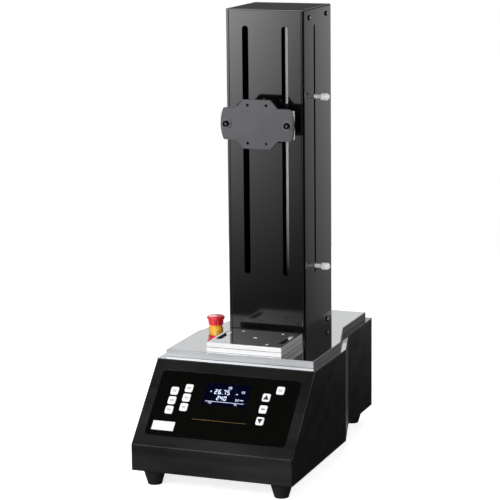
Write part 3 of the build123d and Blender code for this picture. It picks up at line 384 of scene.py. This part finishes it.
def glass(name):
    """Clear window with a faint tint and the lightest of smears."""
    s = Surface(name)
    smear = s.noise(scale=70.0, detail=5.0)
    s.colour(s.mix(smear, (0.86, 0.9, 1.0), (0.95, 0.97, 1.0)))
    s.roughness(smear, 0.02, 0.06)
    s.set(Transmission_Weight=1.0, IOR=1.05)
    return s.material


def lit(name, colour, glow, vary):
    """Backlit display surface with uneven light."""
    s = Surface(name)
    cloud = s.noise(scale=35.0)
    tone = s.shades(cloud, colour, 1 - vary, 1 + vary)
    s.colour(tone)
    s.link(tone, s.shader.inputs["Emission Color"])
    s.bump(s.noise(scale=3000.0), 0.002 * MM)
    s.set(Emission_Strength=glow, Roughness=0.4, Specular_IOR_Level=0.0)
    return s.material


# Finish of each slot: colour, roughness, grain per metre, then the grain's height or direction; a plate
# has the colours of its faces and of its edges, and how metallic the edges are
PLATE = (0.76, 0.77, 0.785)
MATERIALS = {
    "black_paint": painted("black_paint", (0.0035, 0.0035, 0.0037), 0.34, 1400.0, 0.008 * MM, specular=0.3,
                           edge=1.3 * MM),
    "black_gloss": glossed("black_gloss"),
    # Base plate: edges darker than its faces as painted shade
    "polished_plate": polished("polished_plate", PLATE, (0.46, 0.47, 0.485), 0.5, right_painted_shade=0.75),
    "bright_steel": metal("bright_steel", (0.92, 0.92, 0.93), 0.3, 2500.0, ROUND_Z, metallic=0.35),
    "zinc_steel": metal("zinc_steel", (0.6, 0.6, 0.61), 0.3, 1800.0, EVEN),
    "black_steel": metal("black_steel", (0.03, 0.03, 0.032), 0.38, 1500.0, EVEN),
    "grey_anodised": metal("grey_anodised", (0.072, 0.073, 0.078), 0.5, 3000.0, EVEN, 0.006 * MM),
    "bare_aluminium": metal("bare_aluminium", (0.78, 0.78, 0.8), 0.26, 1600.0, ALONG_X),
    "black_aluminium": metal("black_aluminium", (0.02, 0.02, 0.021), 0.45, 2500.0, EVEN),
    "rubber": plastic("rubber", (0.006, 0.006, 0.006), 0.75, 1200.0, 0.03 * MM, 0.3),
    "overlay_black": plastic("overlay_black", (0.0025, 0.0025, 0.0022), 0.1, 2500.0, 0.0006 * MM, 0.4),
    "key_white": plastic("key_white", (0.88, 0.88, 0.87), 0.4, 2000.0, 0.006 * MM, vary=0.04),
    "display_glass": glass("display_glass"),
    "display_blue": lit("display_blue", (0.0008, 0.0009, 0.006), 0.4, 0.25),
    "board_green": circuit("board_green", (0.015, 0.1, 0.04)),
    "stop_red": plastic("stop_red", (0.68, 0.014, 0.03), 0.28, 900.0, 0.004 * MM, coat=0.1),
    "stop_yellow": plastic("stop_yellow", (0.84, 0.43, 0.03), 0.3, 900.0, 0.004 * MM),
    "black_plastic": plastic("black_plastic", (0.014, 0.014, 0.014), 0.45, 1100.0, 0.02 * MM),
    "brass": metal("brass", (0.68, 0.47, 0.17), 0.26, 2200.0, ROUND_Z),
    "belt_rubber": plastic("belt_rubber", (0.02, 0.02, 0.02), 0.6, 1500.0, 0.03 * MM),
    "motor_grey": painted("motor_grey", (0.12, 0.12, 0.13), 0.4, 900.0, 0.01 * MM),
    "sheet_zinc": spangled("sheet_zinc", (0.5, 0.5, 0.51)),
}
# Finishes of the pieces that only this scene has
TURNED = metal("turned_steel", (0.97, 0.97, 0.98), 0.28, 2500.0, ROUND_X, metallic=0.12)
SOCKET = metal("socket_steel", (0.9, 0.9, 0.91), 0.25, 1500.0, EVEN, metallic=0.45)
BUTTON = painted("button_black", (0.003, 0.003, 0.003), 0.45, 1500.0, 0.002 * MM, specular=0.1)
THREAD = metal("thread_steel", (0.03, 0.03, 0.031), 0.35, 2500.0, ROUND_Z)
INK = plastic("key_ink", (0.012, 0.012, 0.013), 0.5, 2500.0, 0.002 * MM)
GREY_INK = plastic("grey_ink", (0.14, 0.14, 0.145), 0.5, 2500.0, 0.002 * MM)
LABEL = plastic("label_white", (0.8, 0.8, 0.8), 0.45, 1500.0, 0.003 * MM, vary=0.03)
GOLD = metal("gold_line", (0.42, 0.24, 0.07), 0.4, 2000.0, ALONG_X)
DIGIT = lit("display_white", (0.8, 0.86, 0.95), 0.9, 0.06)


# Nodes with a finish of their own, some of them dark with painted shade, pale with a painted glint or paler
# washers, or matt, in boxes of their mesh

ROOM = Vector((MM, MM, MM))
SHADOW = 0.01
CLAMP_HEAD_R = 4.0 * MM
SLOT_REACH = 4.6 * MM
SLOT_INSET = 2.0 * MM
SLOT_BELOW = 0.3 * MM
SEAM_BELOW = 0.45 * MM
SEAM_ABOVE = 0.25 * MM
# Edge colours of the table plates, paler than their faces as painted light, and of the trim sheet, dark as painted
# shade
TABLE_EDGE = (0.88, 0.88, 0.89)
TRIM_EDGE = (0.06, 0.06, 0.06)
# Level of the painted shade on the trim's rear half
TRIM_SHADE = 0.4
FACE_SKIN = 0.15 * MM
# Widths of the painted shade on the guide rods' left flanks
LEFT_FLANK = 3.0 * MM
RIGHT_FLANK = 3.3 * MM
# Painted reflection on the guide rods: heights over which it rises, its lit tone and its shaded tone
ROD_RISE = (0.268, 0.405)
ROD_BRIGHT = (1.0, 1.0, 1.0)
ROD_SHADE = (0.03, 0.03, 0.03)
SCREW_BLACK = (0.001, 0.001, 0.001)
WASHER_R = 7.5 * MM
WASHER_T = 1.0 * MM
WASHER_ROOM = 0.1 * MM
WASHER_TONE = (0.135, 0.135, 0.14)
SOCKET_R = 2.6 * MM
SOCKET_DEPTH = 3.0 * MM
# Tone of the painted glint in the screws' sockets
SOCKET_GLINT = (0.15, 0.15, 0.153)


def table_slots():
    """Boxes of painted shade round the clamp slots, below the table's top face and inside its edges."""
    low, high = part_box("table_top_plate")
    screws_low, screws_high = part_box("table_clamp_screws")
    boxes = []
    for x in (screws_low.x + CLAMP_HEAD_R, screws_high.x - CLAMP_HEAD_R):
        boxes.append((Vector((x - SLOT_REACH, low.y + SLOT_INSET, low.z - MM)),
                      Vector((x + SLOT_REACH, high.y - SLOT_INSET, high.z - SLOT_BELOW)), SHADOW))
    return boxes


def table_seam():
    """Thin box of painted shade where the two table plates meet."""
    low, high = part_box("table_top_plate")
    top = Vector((high.x + MM, high.y + MM, low.z + SEAM_ABOVE))
    return low - Vector((MM, MM, SEAM_BELOW)), top, SHADOW


def trim_rear_shade():
    """Box round the rear half of the trim sheet, darkened as painted shade."""
    low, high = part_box("trim_sheet")
    return Vector((low.x - MM, (low.y + high.y) / 2, low.z - MM)), high + ROOM, TRIM_SHADE


def behind_face(node, axis):
    """Box round a sheet's cut edges and inner side: all but its outer face, toward +X or -Y."""
    low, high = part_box(node)
    low, high = low - ROOM, high + ROOM
    if axis == "+X":
        high.x -= MM + FACE_SKIN
    else:
        low.y += MM + FACE_SKIN
    return low, high


def rod_flanks():
    """Boxes of painted shade round the left flanks of the guide rods, which face the column's dark inside."""
    low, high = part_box("guide_rods")
    boxes = []
    for edge, flank in ((low.x, LEFT_FLANK), (high.x - (high.y - low.y), RIGHT_FLANK)):
        boxes.append((Vector((edge - MM, low.y - MM, low.z)), Vector((edge + flank, high.y + MM, high.z))))
    return boxes


def gauge_screw_boxes():
    """Boxes round the washers on the gauge plate, and inside the screws' sockets for a painted glint."""
    low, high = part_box("gauge_plate")
    boxes = [(low - Vector((MM, WASHER_T + WASHER_ROOM, MM)),
              Vector((high.x + MM, low.y + WASHER_ROOM, high.z + MM)), WASHER_TONE)]
    low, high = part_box("gauge_screws")
    for x in (low.x + WASHER_R, high.x - WASHER_R):
        front = Vector((x, low.y, (low.z + high.z) / 2))
        reach = Vector((SOCKET_R, 0, SOCKET_R))
        boxes.append((front - reach + Vector((0, FACE_SKIN, 0)),
                      front + reach + Vector((0, SOCKET_DEPTH, 0)), SOCKET_GLINT))
    return boxes


OWN_FINISH = {
    "column_front": glossed("front_sheet", 0.1, behind_face("column_front", "-Y")),
    "column_right": glossed("right_sheet", 0.06, behind_face("column_right", "+X")),
    "guide_rods": graded_rods("guide_rod", ROD_BRIGHT, ROD_SHADE, ROD_RISE, rod_flanks()),
    "trim_sheet": polished("trim_sheet", PLATE, TRIM_EDGE, 1.0, [trim_rear_shade()]),
    "table_top_plate": polished("table_top", PLATE, TABLE_EDGE, 0.3, [table_seam()] + table_slots(), 0.6),
    "table_low_plate": polished("table_low", PLATE, TABLE_EDGE, 0.3, [table_seam()], 0.6),
    "gauge_screws": cap_screws("gauge_screws", SCREW_BLACK, gauge_screw_boxes()),
}
for name, node in NODES.items():
    node.data.materials.clear()
    node.data.materials.append(OWN_FINISH.get(name, MATERIALS[SLOT_OF[name]]))


# Mesh pieces


def piece(name, mesh, material, body):
    """Link a finished mesh as a piece that rides on a body."""
    mesh.normal_update()
    data = bpy.data.meshes.new(name)
    mesh.to_mesh(data)
    mesh.free()
    data.materials.append(material)
    item = bpy.data.objects.new(name, data)
    bpy.context.scene.collection.objects.link(item)
    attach(item, body)
    return item


def console_point(u, v, lift):
    """Point on the console: u right and v up from the overlay's middle, lift above the overlay."""
    return CONSOLE_MID + Vector((u, 0, 0)) + CONSOLE_UP * v + CONSOLE_NORMAL * (OVERLAY_HALF_T + lift)


def add_prism(mesh, outline, place, thickness):
    """Raise a flat outline, placed by a function of u, v and lift."""
    low = [mesh.verts.new(place(u, v, 0)) for u, v in outline]
    high = [mesh.verts.new(place(u, v, thickness)) for u, v in outline]
    mesh.faces.new(high)
    mesh.faces.new(list(reversed(low)))
    for i in range(len(outline)):
        j = (i + 1) % len(outline)
        mesh.faces.new((low[i], low[j], high[j], high[i]))


def rounded(u, v, width, height, radius, steps=6):
    """Outline of a rectangle with rounded corners, about a middle point."""
    points = []
    for quarter, (sx, sy) in enumerate(((1, 1), (-1, 1), (-1, -1), (1, -1))):
        cx = u + sx * (width / 2 - radius)
        cy = v + sy * (height / 2 - radius)
        for i in range(steps + 1):
            a = math.pi / 2 * (quarter + i / steps)
            points.append((cx + radius * math.cos(a), cy + radius * math.sin(a)))
    return points


def bar(u, v, width, height):
    """Outline of a rectangle about a middle point."""
    w, h = width / 2, height / 2
    return [(u - w, v - h), (u + w, v - h), (u + w, v + h), (u - w, v + h)]


def revolved(rings, segments, place):
    """Closed skin through rings of (height, radius function of angle)."""
    mesh = bmesh.new()
    loops = []
    for height, radius in rings:
        loop = []
        for i in range(segments):
            a = 2 * math.pi * i / segments
            r = radius(a)
            loop.append(mesh.verts.new(place(height, r * math.cos(a), r * math.sin(a))))
        loops.append(loop)
    for low, high in zip(loops, loops[1:]):
        for i in range(segments):
            j = (i + 1) % segments
            mesh.faces.new((low[i], low[j], high[j], high[i]))
    mesh.faces.new(list(reversed(loops[0])))
    mesh.faces.new(loops[-1])
    bmesh.ops.recalc_face_normals(mesh, faces=mesh.faces)
    return mesh


# Display: generic figures on the module, behind the window

SEGMENTS = {"0": "abcdef", "1": "bc", "2": "abged", "3": "abgcd", "4": "fgbc", "5": "afgcd", "6": "afgecd",
            "7": "abc", "8": "abcdefg", "9": "abfgcd"}
DISPLAY_MID = (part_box("display_window")[0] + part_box("display_window")[1]) / 2
# Width and stroke of a figure, in parts of its height
FIGURE_WIDTH = 0.54
FIGURE_STROKE = 0.105
# What its uprights and flats lose at the joins, and the steps after a figure and a point, in strokes
UPRIGHT_LOSS = 1.3
FLAT_LOSS = 1.4
FIGURE_STEP = 2.6
POINT_STEP = 2.4


def display_point(u, v, lift):
    """Point on the display module's face, from the window's middle."""
    deep = WINDOW_HALF_T + DISPLAY_GAP
    return DISPLAY_MID + Vector((u, 0, 0)) + CONSOLE_UP * v + CONSOLE_NORMAL * (lift - deep)


def add_figure(mesh, text, u, v, height):
    """Row of seven-segment figures, from its left end and lower edge."""
    width = height * FIGURE_WIDTH
    stroke = height * FIGURE_STROKE
    flat = width - FLAT_LOSS * stroke
    upright = height / 2 - UPRIGHT_LOSS * stroke
    for mark in text:
        if mark == ".":
            add_prism(mesh, bar(u + stroke, v + stroke / 2, stroke, stroke), display_point, PRINT_T)
            u += POINT_STEP * stroke
            continue
        left, right, mid = u + stroke / 2, u + width - stroke / 2, u + width / 2
        shapes = {
            "a": bar(mid, v + height - stroke / 2, flat, stroke),
            "g": bar(mid, v + height / 2, flat, stroke),
            "d": bar(mid, v + stroke / 2, flat, stroke),
            "f": bar(left, v + height * 0.75, stroke, upright),
            "b": bar(right, v + height * 0.75, stroke, upright),
            "e": bar(left, v + height * 0.25, stroke, upright),
            "c": bar(right, v + height * 0.25, stroke, upright),
        }
        for segment in SEGMENTS[mark]:
            add_prism(mesh, shapes[segment], display_point, PRINT_T)
        u += width + FIGURE_STEP * stroke


# Text, left end, lower edge and height of the figures, then middle, width and height of the dashes, in mm
FIGURES = (("08", 0, 10.6, 3.4), ("26.75", -19.5, 1.4, 7.0), ("240", -14.0, -8.2, 6.6), ("50", 21, 5.4, 3.2),
           ("3.2", 14, -7.6, 3.6), ("120", -26, -14.6, 2.8), ("45", 14, -14.6, 2.8))
DASHES = ((-25, 4.8, 1.4, 1.4), (14.5, 3.2, 2.6, 0.8), (24, -5.8, 4.4, 0.8), (-1, -11.0, 58, 0.35))
figures = bmesh.new()
for text, u, v, height in FIGURES:
    add_figure(figures, text, u * MM, v * MM, height * MM)
for dash in DASHES:
    add_prism(figures, bar(*[n * MM for n in dash]), display_point, PRINT_T)
piece("display_figures", figures, DIGIT, "stand")


# Console prints

# Middle, width and height, in mm
LABEL_PLACE = (-80.2, -36.6, 33, 14.4)
LINE_PLACE = (-0.2, -21.7, 81.5, 0.4)
LABEL_CORNER = 0.7 * MM
label = bmesh.new()
add_prism(label, rounded(*[n * MM for n in LABEL_PLACE], LABEL_CORNER), console_point, 2 * PRINT_T)
piece("bare_label", label, LABEL, "stand")
line = bmesh.new()
add_prism(line, bar(*[n * MM for n in LINE_PLACE]), console_point, PRINT_T)
piece("gold_line", line, GOLD, "stand")


# Key marks

ARROW = 4.2 * MM
ARROW_FOOT = 0.8
STOP_BAR = (5.4 * MM, 1.9 * MM)
# Two bars in place of words: the place up the key and the width of each, and their height
WORD_BARS = ((0.7 * MM, 6.4 * MM), (-1.1 * MM, 4.6 * MM))
WORD_BAR_H = 0.8 * MM


def key_point(key):
    """Placing function for a mark on a key's face."""
    low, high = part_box(key)
    out = (low + high) / 2 - CONSOLE_MID

    def place(u, v, lift):
        return console_point(out.x + u, out.dot(CONSOLE_UP) + v, KEY_PROUD + lift)
    return place


def key_mark(key):
    """Plain mark of a key: arrow, bar or two short bars."""
    mesh = bmesh.new()
    place = key_point(key)
    if key in ("key_up", "key_down"):
        tip = ARROW if key == "key_up" else -ARROW
        outline = [(-ARROW, -tip * ARROW_FOOT), (ARROW, -tip * ARROW_FOOT), (0, tip)]
        if key == "key_down":
            outline.reverse()
        add_prism(mesh, outline, place, PRINT_T)
        ink = INK
    elif key == "key_stop":
        add_prism(mesh, bar(0, 0, *STOP_BAR), place, PRINT_T)
        ink = INK
    else:
        for v, width in WORD_BARS:
            add_prism(mesh, bar(0, v, width, WORD_BAR_H), place, PRINT_T)
        ink = GREY_INK
    piece(key + "_mark", mesh, ink, key)


for key in sorted(n for n in NODES if n.startswith("key_")):
    key_mark(key)


# Knurled thumb screws

KNURL_TEETH = 26
KNURL_DEPTH = 0.35 * MM
KNURL_PITCH = 1.3 * MM
KNOB_HEAD_L = 12.3 * MM
KNOB_EDGE = 0.8 * MM
KNOB_CONE_L = 2.4 * MM
KNOB_END = 0.55
KNOB_NECK_R = 3.0 * MM
KNOB_NECK_L = 9.9 * MM
KNOB_THREAD_R = 2.5 * MM
KNOB_SEGMENTS = 104
KNOB_RINGS = 36


def triangle_wave(t):
    """Wave from 1 to 0 and back over each whole step."""
    return abs(2 * (t - math.floor(t)) - 1)


def constant(radius):
    """Radius function of a round ring."""
    return lambda angle: radius


def knurl(radius, along):
    """Radius round one ring of crossed grooves."""
    def at(angle):
        turn = angle / (2 * math.pi) * KNURL_TEETH
        cross = along / KNURL_PITCH / 2
        return radius - KNURL_DEPTH * min(triangle_wave(turn + cross), triangle_wave(turn - cross))
    return at


def thumb_screw(place_name):
    """Knurled head with a coned end, plain neck and thread end."""
    node = "limit_knob_" + place_name
    low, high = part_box(node)
    mid = (low + high) / 2
    radius = (high.z - low.z) / 2
    head = high.x - KNOB_HEAD_L
    neck = head - KNOB_NECK_L
    rings = [(low.x, constant(KNOB_THREAD_R)), (neck, constant(KNOB_THREAD_R)),
             (neck, constant(KNOB_NECK_R)), (head, constant(KNOB_NECK_R)),
             (head, constant(radius - KNOB_EDGE))]
    start, end = head + KNOB_EDGE, high.x - KNOB_CONE_L
    for i in range(KNOB_RINGS + 1):
        x = start + (end - start) * i / KNOB_RINGS
        rings.append((x, knurl(radius, x - start)))
    rings += [(end, constant(radius - KNURL_DEPTH)), (high.x, constant(radius * KNOB_END))]
    mesh = revolved(rings, KNOB_SEGMENTS, lambda x, y, z: (x, mid.y + y, mid.z + z))
    item = piece("thumb_screw_" + place_name, mesh, TURNED, "knob_" + place_name)
    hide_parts(node)


for place_name in ("upper", "lower"):
    thumb_screw(place_name)


# Lead screw with its thread

THREAD_LEAD = 5.0 * MM
THREAD_DEPTH = 1.1 * MM
THREAD_SLOPE = 2.6
THREAD_CREST = 0.8
THREAD_STEP = 0.5 * MM
THREAD_SEGMENTS = 24
SCREW_R = 8.0 * MM
JOURNAL_R = 6.0 * MM
TOP_JOURNAL = 8.2 * MM


def thread_radius(z):
    """Trapezoid thread: radius round one ring at a height."""
    def at(angle):
        phase = z / THREAD_LEAD + angle / (2 * math.pi)
        depth = THREAD_SLOPE * triangle_wave(phase) - THREAD_CREST
        return SCREW_R - THREAD_DEPTH * min(1.0, max(0.0, depth))
    return at


def lead_screw():
    """Thread from the base plate up to the top journal, with plain journals at both ends."""
    low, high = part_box("lead_screw")
    axis = (low + high) / 2
    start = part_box("base_plate")[1].z
    end = high.z - TOP_JOURNAL
    rings = [(low.z, constant(JOURNAL_R)), (start, constant(JOURNAL_R))]
    steps = round((end - start) / THREAD_STEP)
    for i in range(steps + 1):
        z = start + (end - start) * i / steps
        rings.append((z, thread_radius(z)))
    rings += [(end, constant(JOURNAL_R)), (high.z, constant(JOURNAL_R))]
    mesh = revolved(rings, THREAD_SEGMENTS, lambda z, x, y: (axis.x + x, axis.y + y, z))
    item = piece("threaded_screw", mesh, THREAD, "screw_shaft")
    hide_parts("lead_screw")


lead_screw()


# Button-head screws of the column's sheets

BUTTON_R = 3.8 * MM
BUTTON_H = 1.8 * MM
BUTTON_TOP_R = 2.3 * MM
BUTTON_SHANK_R = 2.0 * MM
BUTTON_HEX_R = 1.9 * MM
BUTTON_HEX_DEPTH = 1.3 * MM
BUTTON_SHANK_L = 8.0 * MM
BUTTON_SEGMENTS = 48
BUTTON_RINGS = 8


def hexagon(radius):
    """Radius of a hexagon round its middle."""
    sixth = math.pi / 3
    return lambda angle: radius * math.cos(sixth / 2) / math.cos(angle % sixth - sixth / 2)


def add_button_screw(mesh, side, face, y, z):
    """Domed head with a hexagon socket on a side sheet, its shank behind it."""
    rings = [(-BUTTON_SHANK_L, constant(BUTTON_SHANK_R)), (0.0, constant(BUTTON_SHANK_R))]
    for i in range(BUTTON_RINGS + 1):
        a = math.pi / 2 * i / BUTTON_RINGS
        dome = BUTTON_TOP_R + (BUTTON_R - BUTTON_TOP_R) * math.cos(a)
        rings.append((BUTTON_H * math.sin(a), constant(dome)))
    rings += [(BUTTON_H, hexagon(BUTTON_HEX_R)), (BUTTON_H - BUTTON_HEX_DEPTH, hexagon(BUTTON_HEX_R))]
    screw = revolved(rings, BUTTON_SEGMENTS, lambda out, u, v: (face + side * out, y + u, z + v))
    for part in screw.faces:
        middle = part.calc_center_median()
        part.material_index = int(math.hypot(middle.y - y, middle.z - z) < BUTTON_HEX_R)
    data = bpy.data.meshes.new("button_screw")
    screw.to_mesh(data)
    screw.free()
    mesh.from_mesh(data)
    bpy.data.meshes.remove(data)


def button_screws():
    """Three screws in each side sheet: two at its top and one at its rear foot."""
    low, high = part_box("column_screws")
    front, back = low.y + BUTTON_R, high.y - BUTTON_R
    foot, top = low.z + BUTTON_R, high.z - BUTTON_R
    mesh = bmesh.new()
    for side, face in ((-1, low.x + BUTTON_H), (1, high.x - BUTTON_H)):
        for y, z in ((front, top), (back, top), (back, foot)):
            add_button_screw(mesh, side, face, y, z)
    item = piece("button_screws", mesh, BUTTON, "stand")
    item.data.materials.append(SOCKET)
    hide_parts("column_screws")


button_screws()


# Folded edges that narrow the gaps beside the column's front sheet

STRIP_FIT = 0.1 * MM
STRIP_EDGE = 0.5 * MM
RIGHT_GAP = 1.1 * MM


def corner_strip(name, inner, outer):
    """Upright strip from the front sheet's edge outward, its outer corner broken."""
    low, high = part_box("column_front")
    turn = STRIP_EDGE if outer > inner else -STRIP_EDGE
    outline = [(inner, low.y), (outer - turn, low.y), (outer, low.y + STRIP_EDGE), (outer, high.y),
               (inner, high.y)]
    mesh = bmesh.new()
    add_prism(mesh, outline, lambda u, v, lift: (u, v, low.z + lift), high.z - low.z)
    bmesh.ops.recalc_face_normals(mesh, faces=mesh.faces)
    piece(name, mesh, MATERIALS["black_gloss"], "stand")


corner_strip("corner_strip_left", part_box("column_front")[0].x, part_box("column_left")[1].x + STRIP_FIT)
corner_strip("corner_strip_right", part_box("column_front")[1].x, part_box("column_right")[0].x - RIGHT_GAP)


# Stage: floor, lights, world and camera

FLOOR_HALF = 1.5
FLOOR_GLOW = 0.72
FLOOR_PALE = (0.8, 0.8, 0.8)
FLOOR_ROUGH = 0.9
CARD_BLACK = (0, 0, 0)
# Lamps: name, place, aim, size and power
SOFTBOXES = (
    ("key", (-1.3, -2.35, 1.65), (0, 0, 0.3), (1.2, 1.2), 60.0),
    ("camera_side", (0.5, -3.0, 0.75), (0, 0, 0.35), (0.7, 0.7), 34.0),
    ("right", (2.2, 0.3, 1.8), (0, 0, 0.2), (1.0, 1.0), 22.0),
    ("top", (0.0, 0.2, 2.8), (0, 0, 0.2), (1.4, 1.4), 12.0),
    ("rear", (-1.6, 2.6, 1.7), (0, 0, 0.3), (1.0, 1.0), 14.0),
)
# Reflection cards: name, ends in x, place in y, ends in z, levels across, levels upward and their power
CARDS = (
    ("front_card", (-0.45, -0.061), -0.6, (0.0, 0.65), (1.72, 0.0), (0.26, 2.38), 2.2),
    ("side_card", (0.45, 0.69), 1.6, (-0.3, 0.525), (1.6, 0.0), (0.2, 1.08), 1.0),
    ("knob_card", (0.69, 0.9), 1.6, (-0.08, 0.6), (1.3, 1.3), (1.0, 1.0), 1.0),
)
# Studio round the object: places from straight down at 0 to straight up at 1, and the level at each
SKY = ((0.0, 0.25), (0.475, 0.12), (0.555, 0.08), (0.59, 0.75), (0.72, 0.6), (0.87, 0.12), (1.0, 0.08))
# Its bright side: direction, where it starts and is full, and what is left of the level elsewhere
BRIGHT_SIDE = (-0.6, 0.8, 0.0)
BRIGHT_RANGE = (0.6, 0.85)
DIM_SIDE = 0.15
# Soft glows below the horizon: direction, where each starts and is full, its level, and how all fade in
GLOWS = (((-0.5, -0.86, 0.0), 0.3, 0.7, 0.6), ((1.0, 0.0, 0.0), 0.86, 0.98, 0.6),
         ((-0.35, 0.94, 0.0), 0.87, 0.97, 0.4), ((-1.0, 0.0, 0.0), 0.72, 0.95, 0.6))
GLOW_FADE = (-0.05, -0.15)


def stage_material(name, colour):
    """Material without gloss, which glows white as far as its strength is linked."""
    material = bpy.data.materials.new(name)
    material.use_nodes = True
    shader = material.node_tree.nodes["Principled BSDF"]
    shader.inputs["Base Color"].default_value = (*colour, 1)
    shader.inputs["Specular IOR Level"].default_value = 0.0
    shader.inputs["Emission Color"].default_value = (1, 1, 1, 1)
    return material, material.node_tree, shader.inputs


def make_floor():
    """Pale floor that shows white to the camera and keeps the object's soft shadow."""
    mesh = bmesh.new()
    square = ((-1, -1), (1, -1), (1, 1), (-1, 1))
    mesh.faces.new([mesh.verts.new((x * FLOOR_HALF, y * FLOOR_HALF, 0)) for x, y in square])
    data = bpy.data.meshes.new("floor")
    mesh.to_mesh(data)
    mesh.free()
    material, tree, sockets = stage_material("floor_white", FLOOR_PALE)
    sockets["Roughness"].default_value = FLOOR_ROUGH
    seen = tree.nodes.new("ShaderNodeLightPath").outputs["Is Camera Ray"]
    tree.links.new(calculated(tree, "MULTIPLY", seen, FLOOR_GLOW), sockets["Emission Strength"])
    data.materials.append(material)
    floor = bpy.data.objects.new("floor", data)
    bpy.context.scene.collection.objects.link(floor)
    floor.visible_glossy = False


def softbox(name, place, aim, size, power):
    """Rectangular lamp that shows in reflections and not to the camera."""
    lamp = bpy.data.lights.new(name, "AREA")
    lamp.shape = "RECTANGLE"
    lamp.size, lamp.size_y = size
    lamp.energy = power
    item = bpy.data.objects.new(name, lamp)
    item.location = place
    item.rotation_euler = (Vector(aim) - Vector(place)).to_track_quat("-Z", "Y").to_euler()
    item.visible_camera = False
    bpy.context.scene.collection.objects.link(item)


def card(name, x, y, z, across, along, power):
    """Upright reflection card, seen by mirror-like surfaces only, its light graded across and along."""
    data = bpy.data.meshes.new(name)
    corners = [(x[0], y, z[0]), (x[1], y, z[0]), (x[1], y, z[1]), (x[0], y, z[1])]
    data.from_pydata(corners, [], [(0, 1, 2, 3)])
    material, tree, sockets = stage_material(name, CARD_BLACK)
    axes = parted(tree, tree.nodes.new("ShaderNodeTexCoord").outputs["Object"])
    wide = mapped(tree, axes["X"], *x, *across)
    tall = calculated(tree, "POWER", mapped(tree, axes["Z"], *z, *along), power)
    tree.links.new(calculated(tree, "MULTIPLY", wide, tall), sockets["Emission Strength"])
    data.materials.append(material)
    item = bpy.data.objects.new(name, data)
    bpy.context.scene.collection.objects.link(item)
    item.visible_camera = False
    item.visible_diffuse = False
    item.visible_transmission = False
    item.visible_shadow = False


def toward(tree, direction, aim):
    """How far a linked direction points along an aim."""
    return calculated(tree, "DOT_PRODUCT", direction, aim, kind="ShaderNodeVectorMath", output="Value")


def make_world():
    """White to the camera and through glass; to the rest a studio, bright behind and dark above."""
    world = bpy.data.worlds.new("studio")
    world.use_nodes = True
    tree = world.node_tree
    direction = tree.nodes.new("ShaderNodeTexCoord").outputs["Generated"]
    height = parted(tree, direction)["Z"]
    ramp = tree.nodes.new("ShaderNodeValToRGB")
    stops = ramp.color_ramp.elements
    for i, (position, level) in enumerate(SKY):
        stop = stops[i] if i < 2 else stops.new(position)
        stop.position = position
        stop.color = (level, level, level, 1)
    tree.links.new(mapped(tree, height, -1.0, 1.0, 0.0, 1.0), ramp.inputs["Fac"])
    side = mapped(tree, toward(tree, direction, BRIGHT_SIDE), *BRIGHT_RANGE, DIM_SIDE, 1.0)
    total = vector_math(tree, "MULTIPLY", ramp.outputs["Color"], side)
    for aim, start, full, level in GLOWS:
        glow = mapped(tree, toward(tree, direction, aim), start, full, 0.0, level)
        fade = mapped(tree, height, *GLOW_FADE, 0.0, 1.0)
        total = vector_math(tree, "ADD", total, calculated(tree, "MULTIPLY", glow, fade))
    path = tree.nodes.new("ShaderNodeLightPath").outputs
    mix = tree.nodes.new("ShaderNodeMix")
    mix.data_type = "RGBA"
    mix.inputs[7].default_value = (1, 1, 1, 1)
    seen = calculated(tree, "MAXIMUM", path["Is Camera Ray"], path["Is Transmission Ray"])
    tree.links.new(seen, mix.inputs[0])
    tree.links.new(total, mix.inputs[6])
    tree.links.new(mix.outputs[2], tree.nodes["Background"].inputs["Color"])
    bpy.context.scene.world = world


def make_camera():
    """Camera of the photograph, turned a little about its own axis."""
    back = Vector((math.sin(CAMERA_AZIMUTH) * math.cos(CAMERA_ELEVATION),
                   -math.cos(CAMERA_AZIMUTH) * math.cos(CAMERA_ELEVATION), math.sin(CAMERA_ELEVATION)))
    right = (-back).cross(Vector((0, 0, 1))).normalized()
    up = right.cross(-back)
    turned_right = right * math.cos(CAMERA_ROLL) + up * math.sin(CAMERA_ROLL)
    turned_up = up * math.cos(CAMERA_ROLL) - right * math.sin(CAMERA_ROLL)
    data = bpy.data.cameras.new("camera")
    data.lens = CAMERA_LENS
    data.sensor_width = CAMERA_SENSOR
    data.sensor_fit = "HORIZONTAL"
    camera = bpy.data.objects.new("camera", data)
    axes = Matrix((turned_right, turned_up, back)).transposed()
    camera.matrix_world = Matrix.Translation(CAMERA_AIM + back * CAMERA_DISTANCE) @ axes.to_4x4()
    bpy.context.scene.collection.objects.link(camera)
    bpy.context.scene.camera = camera


make_floor()
for lamp in SOFTBOXES:
    softbox(*lamp)
for sheet in CARDS:
    card(*sheet)
make_world()
make_camera()
bpy.context.scene.view_settings.view_transform = "Standard"
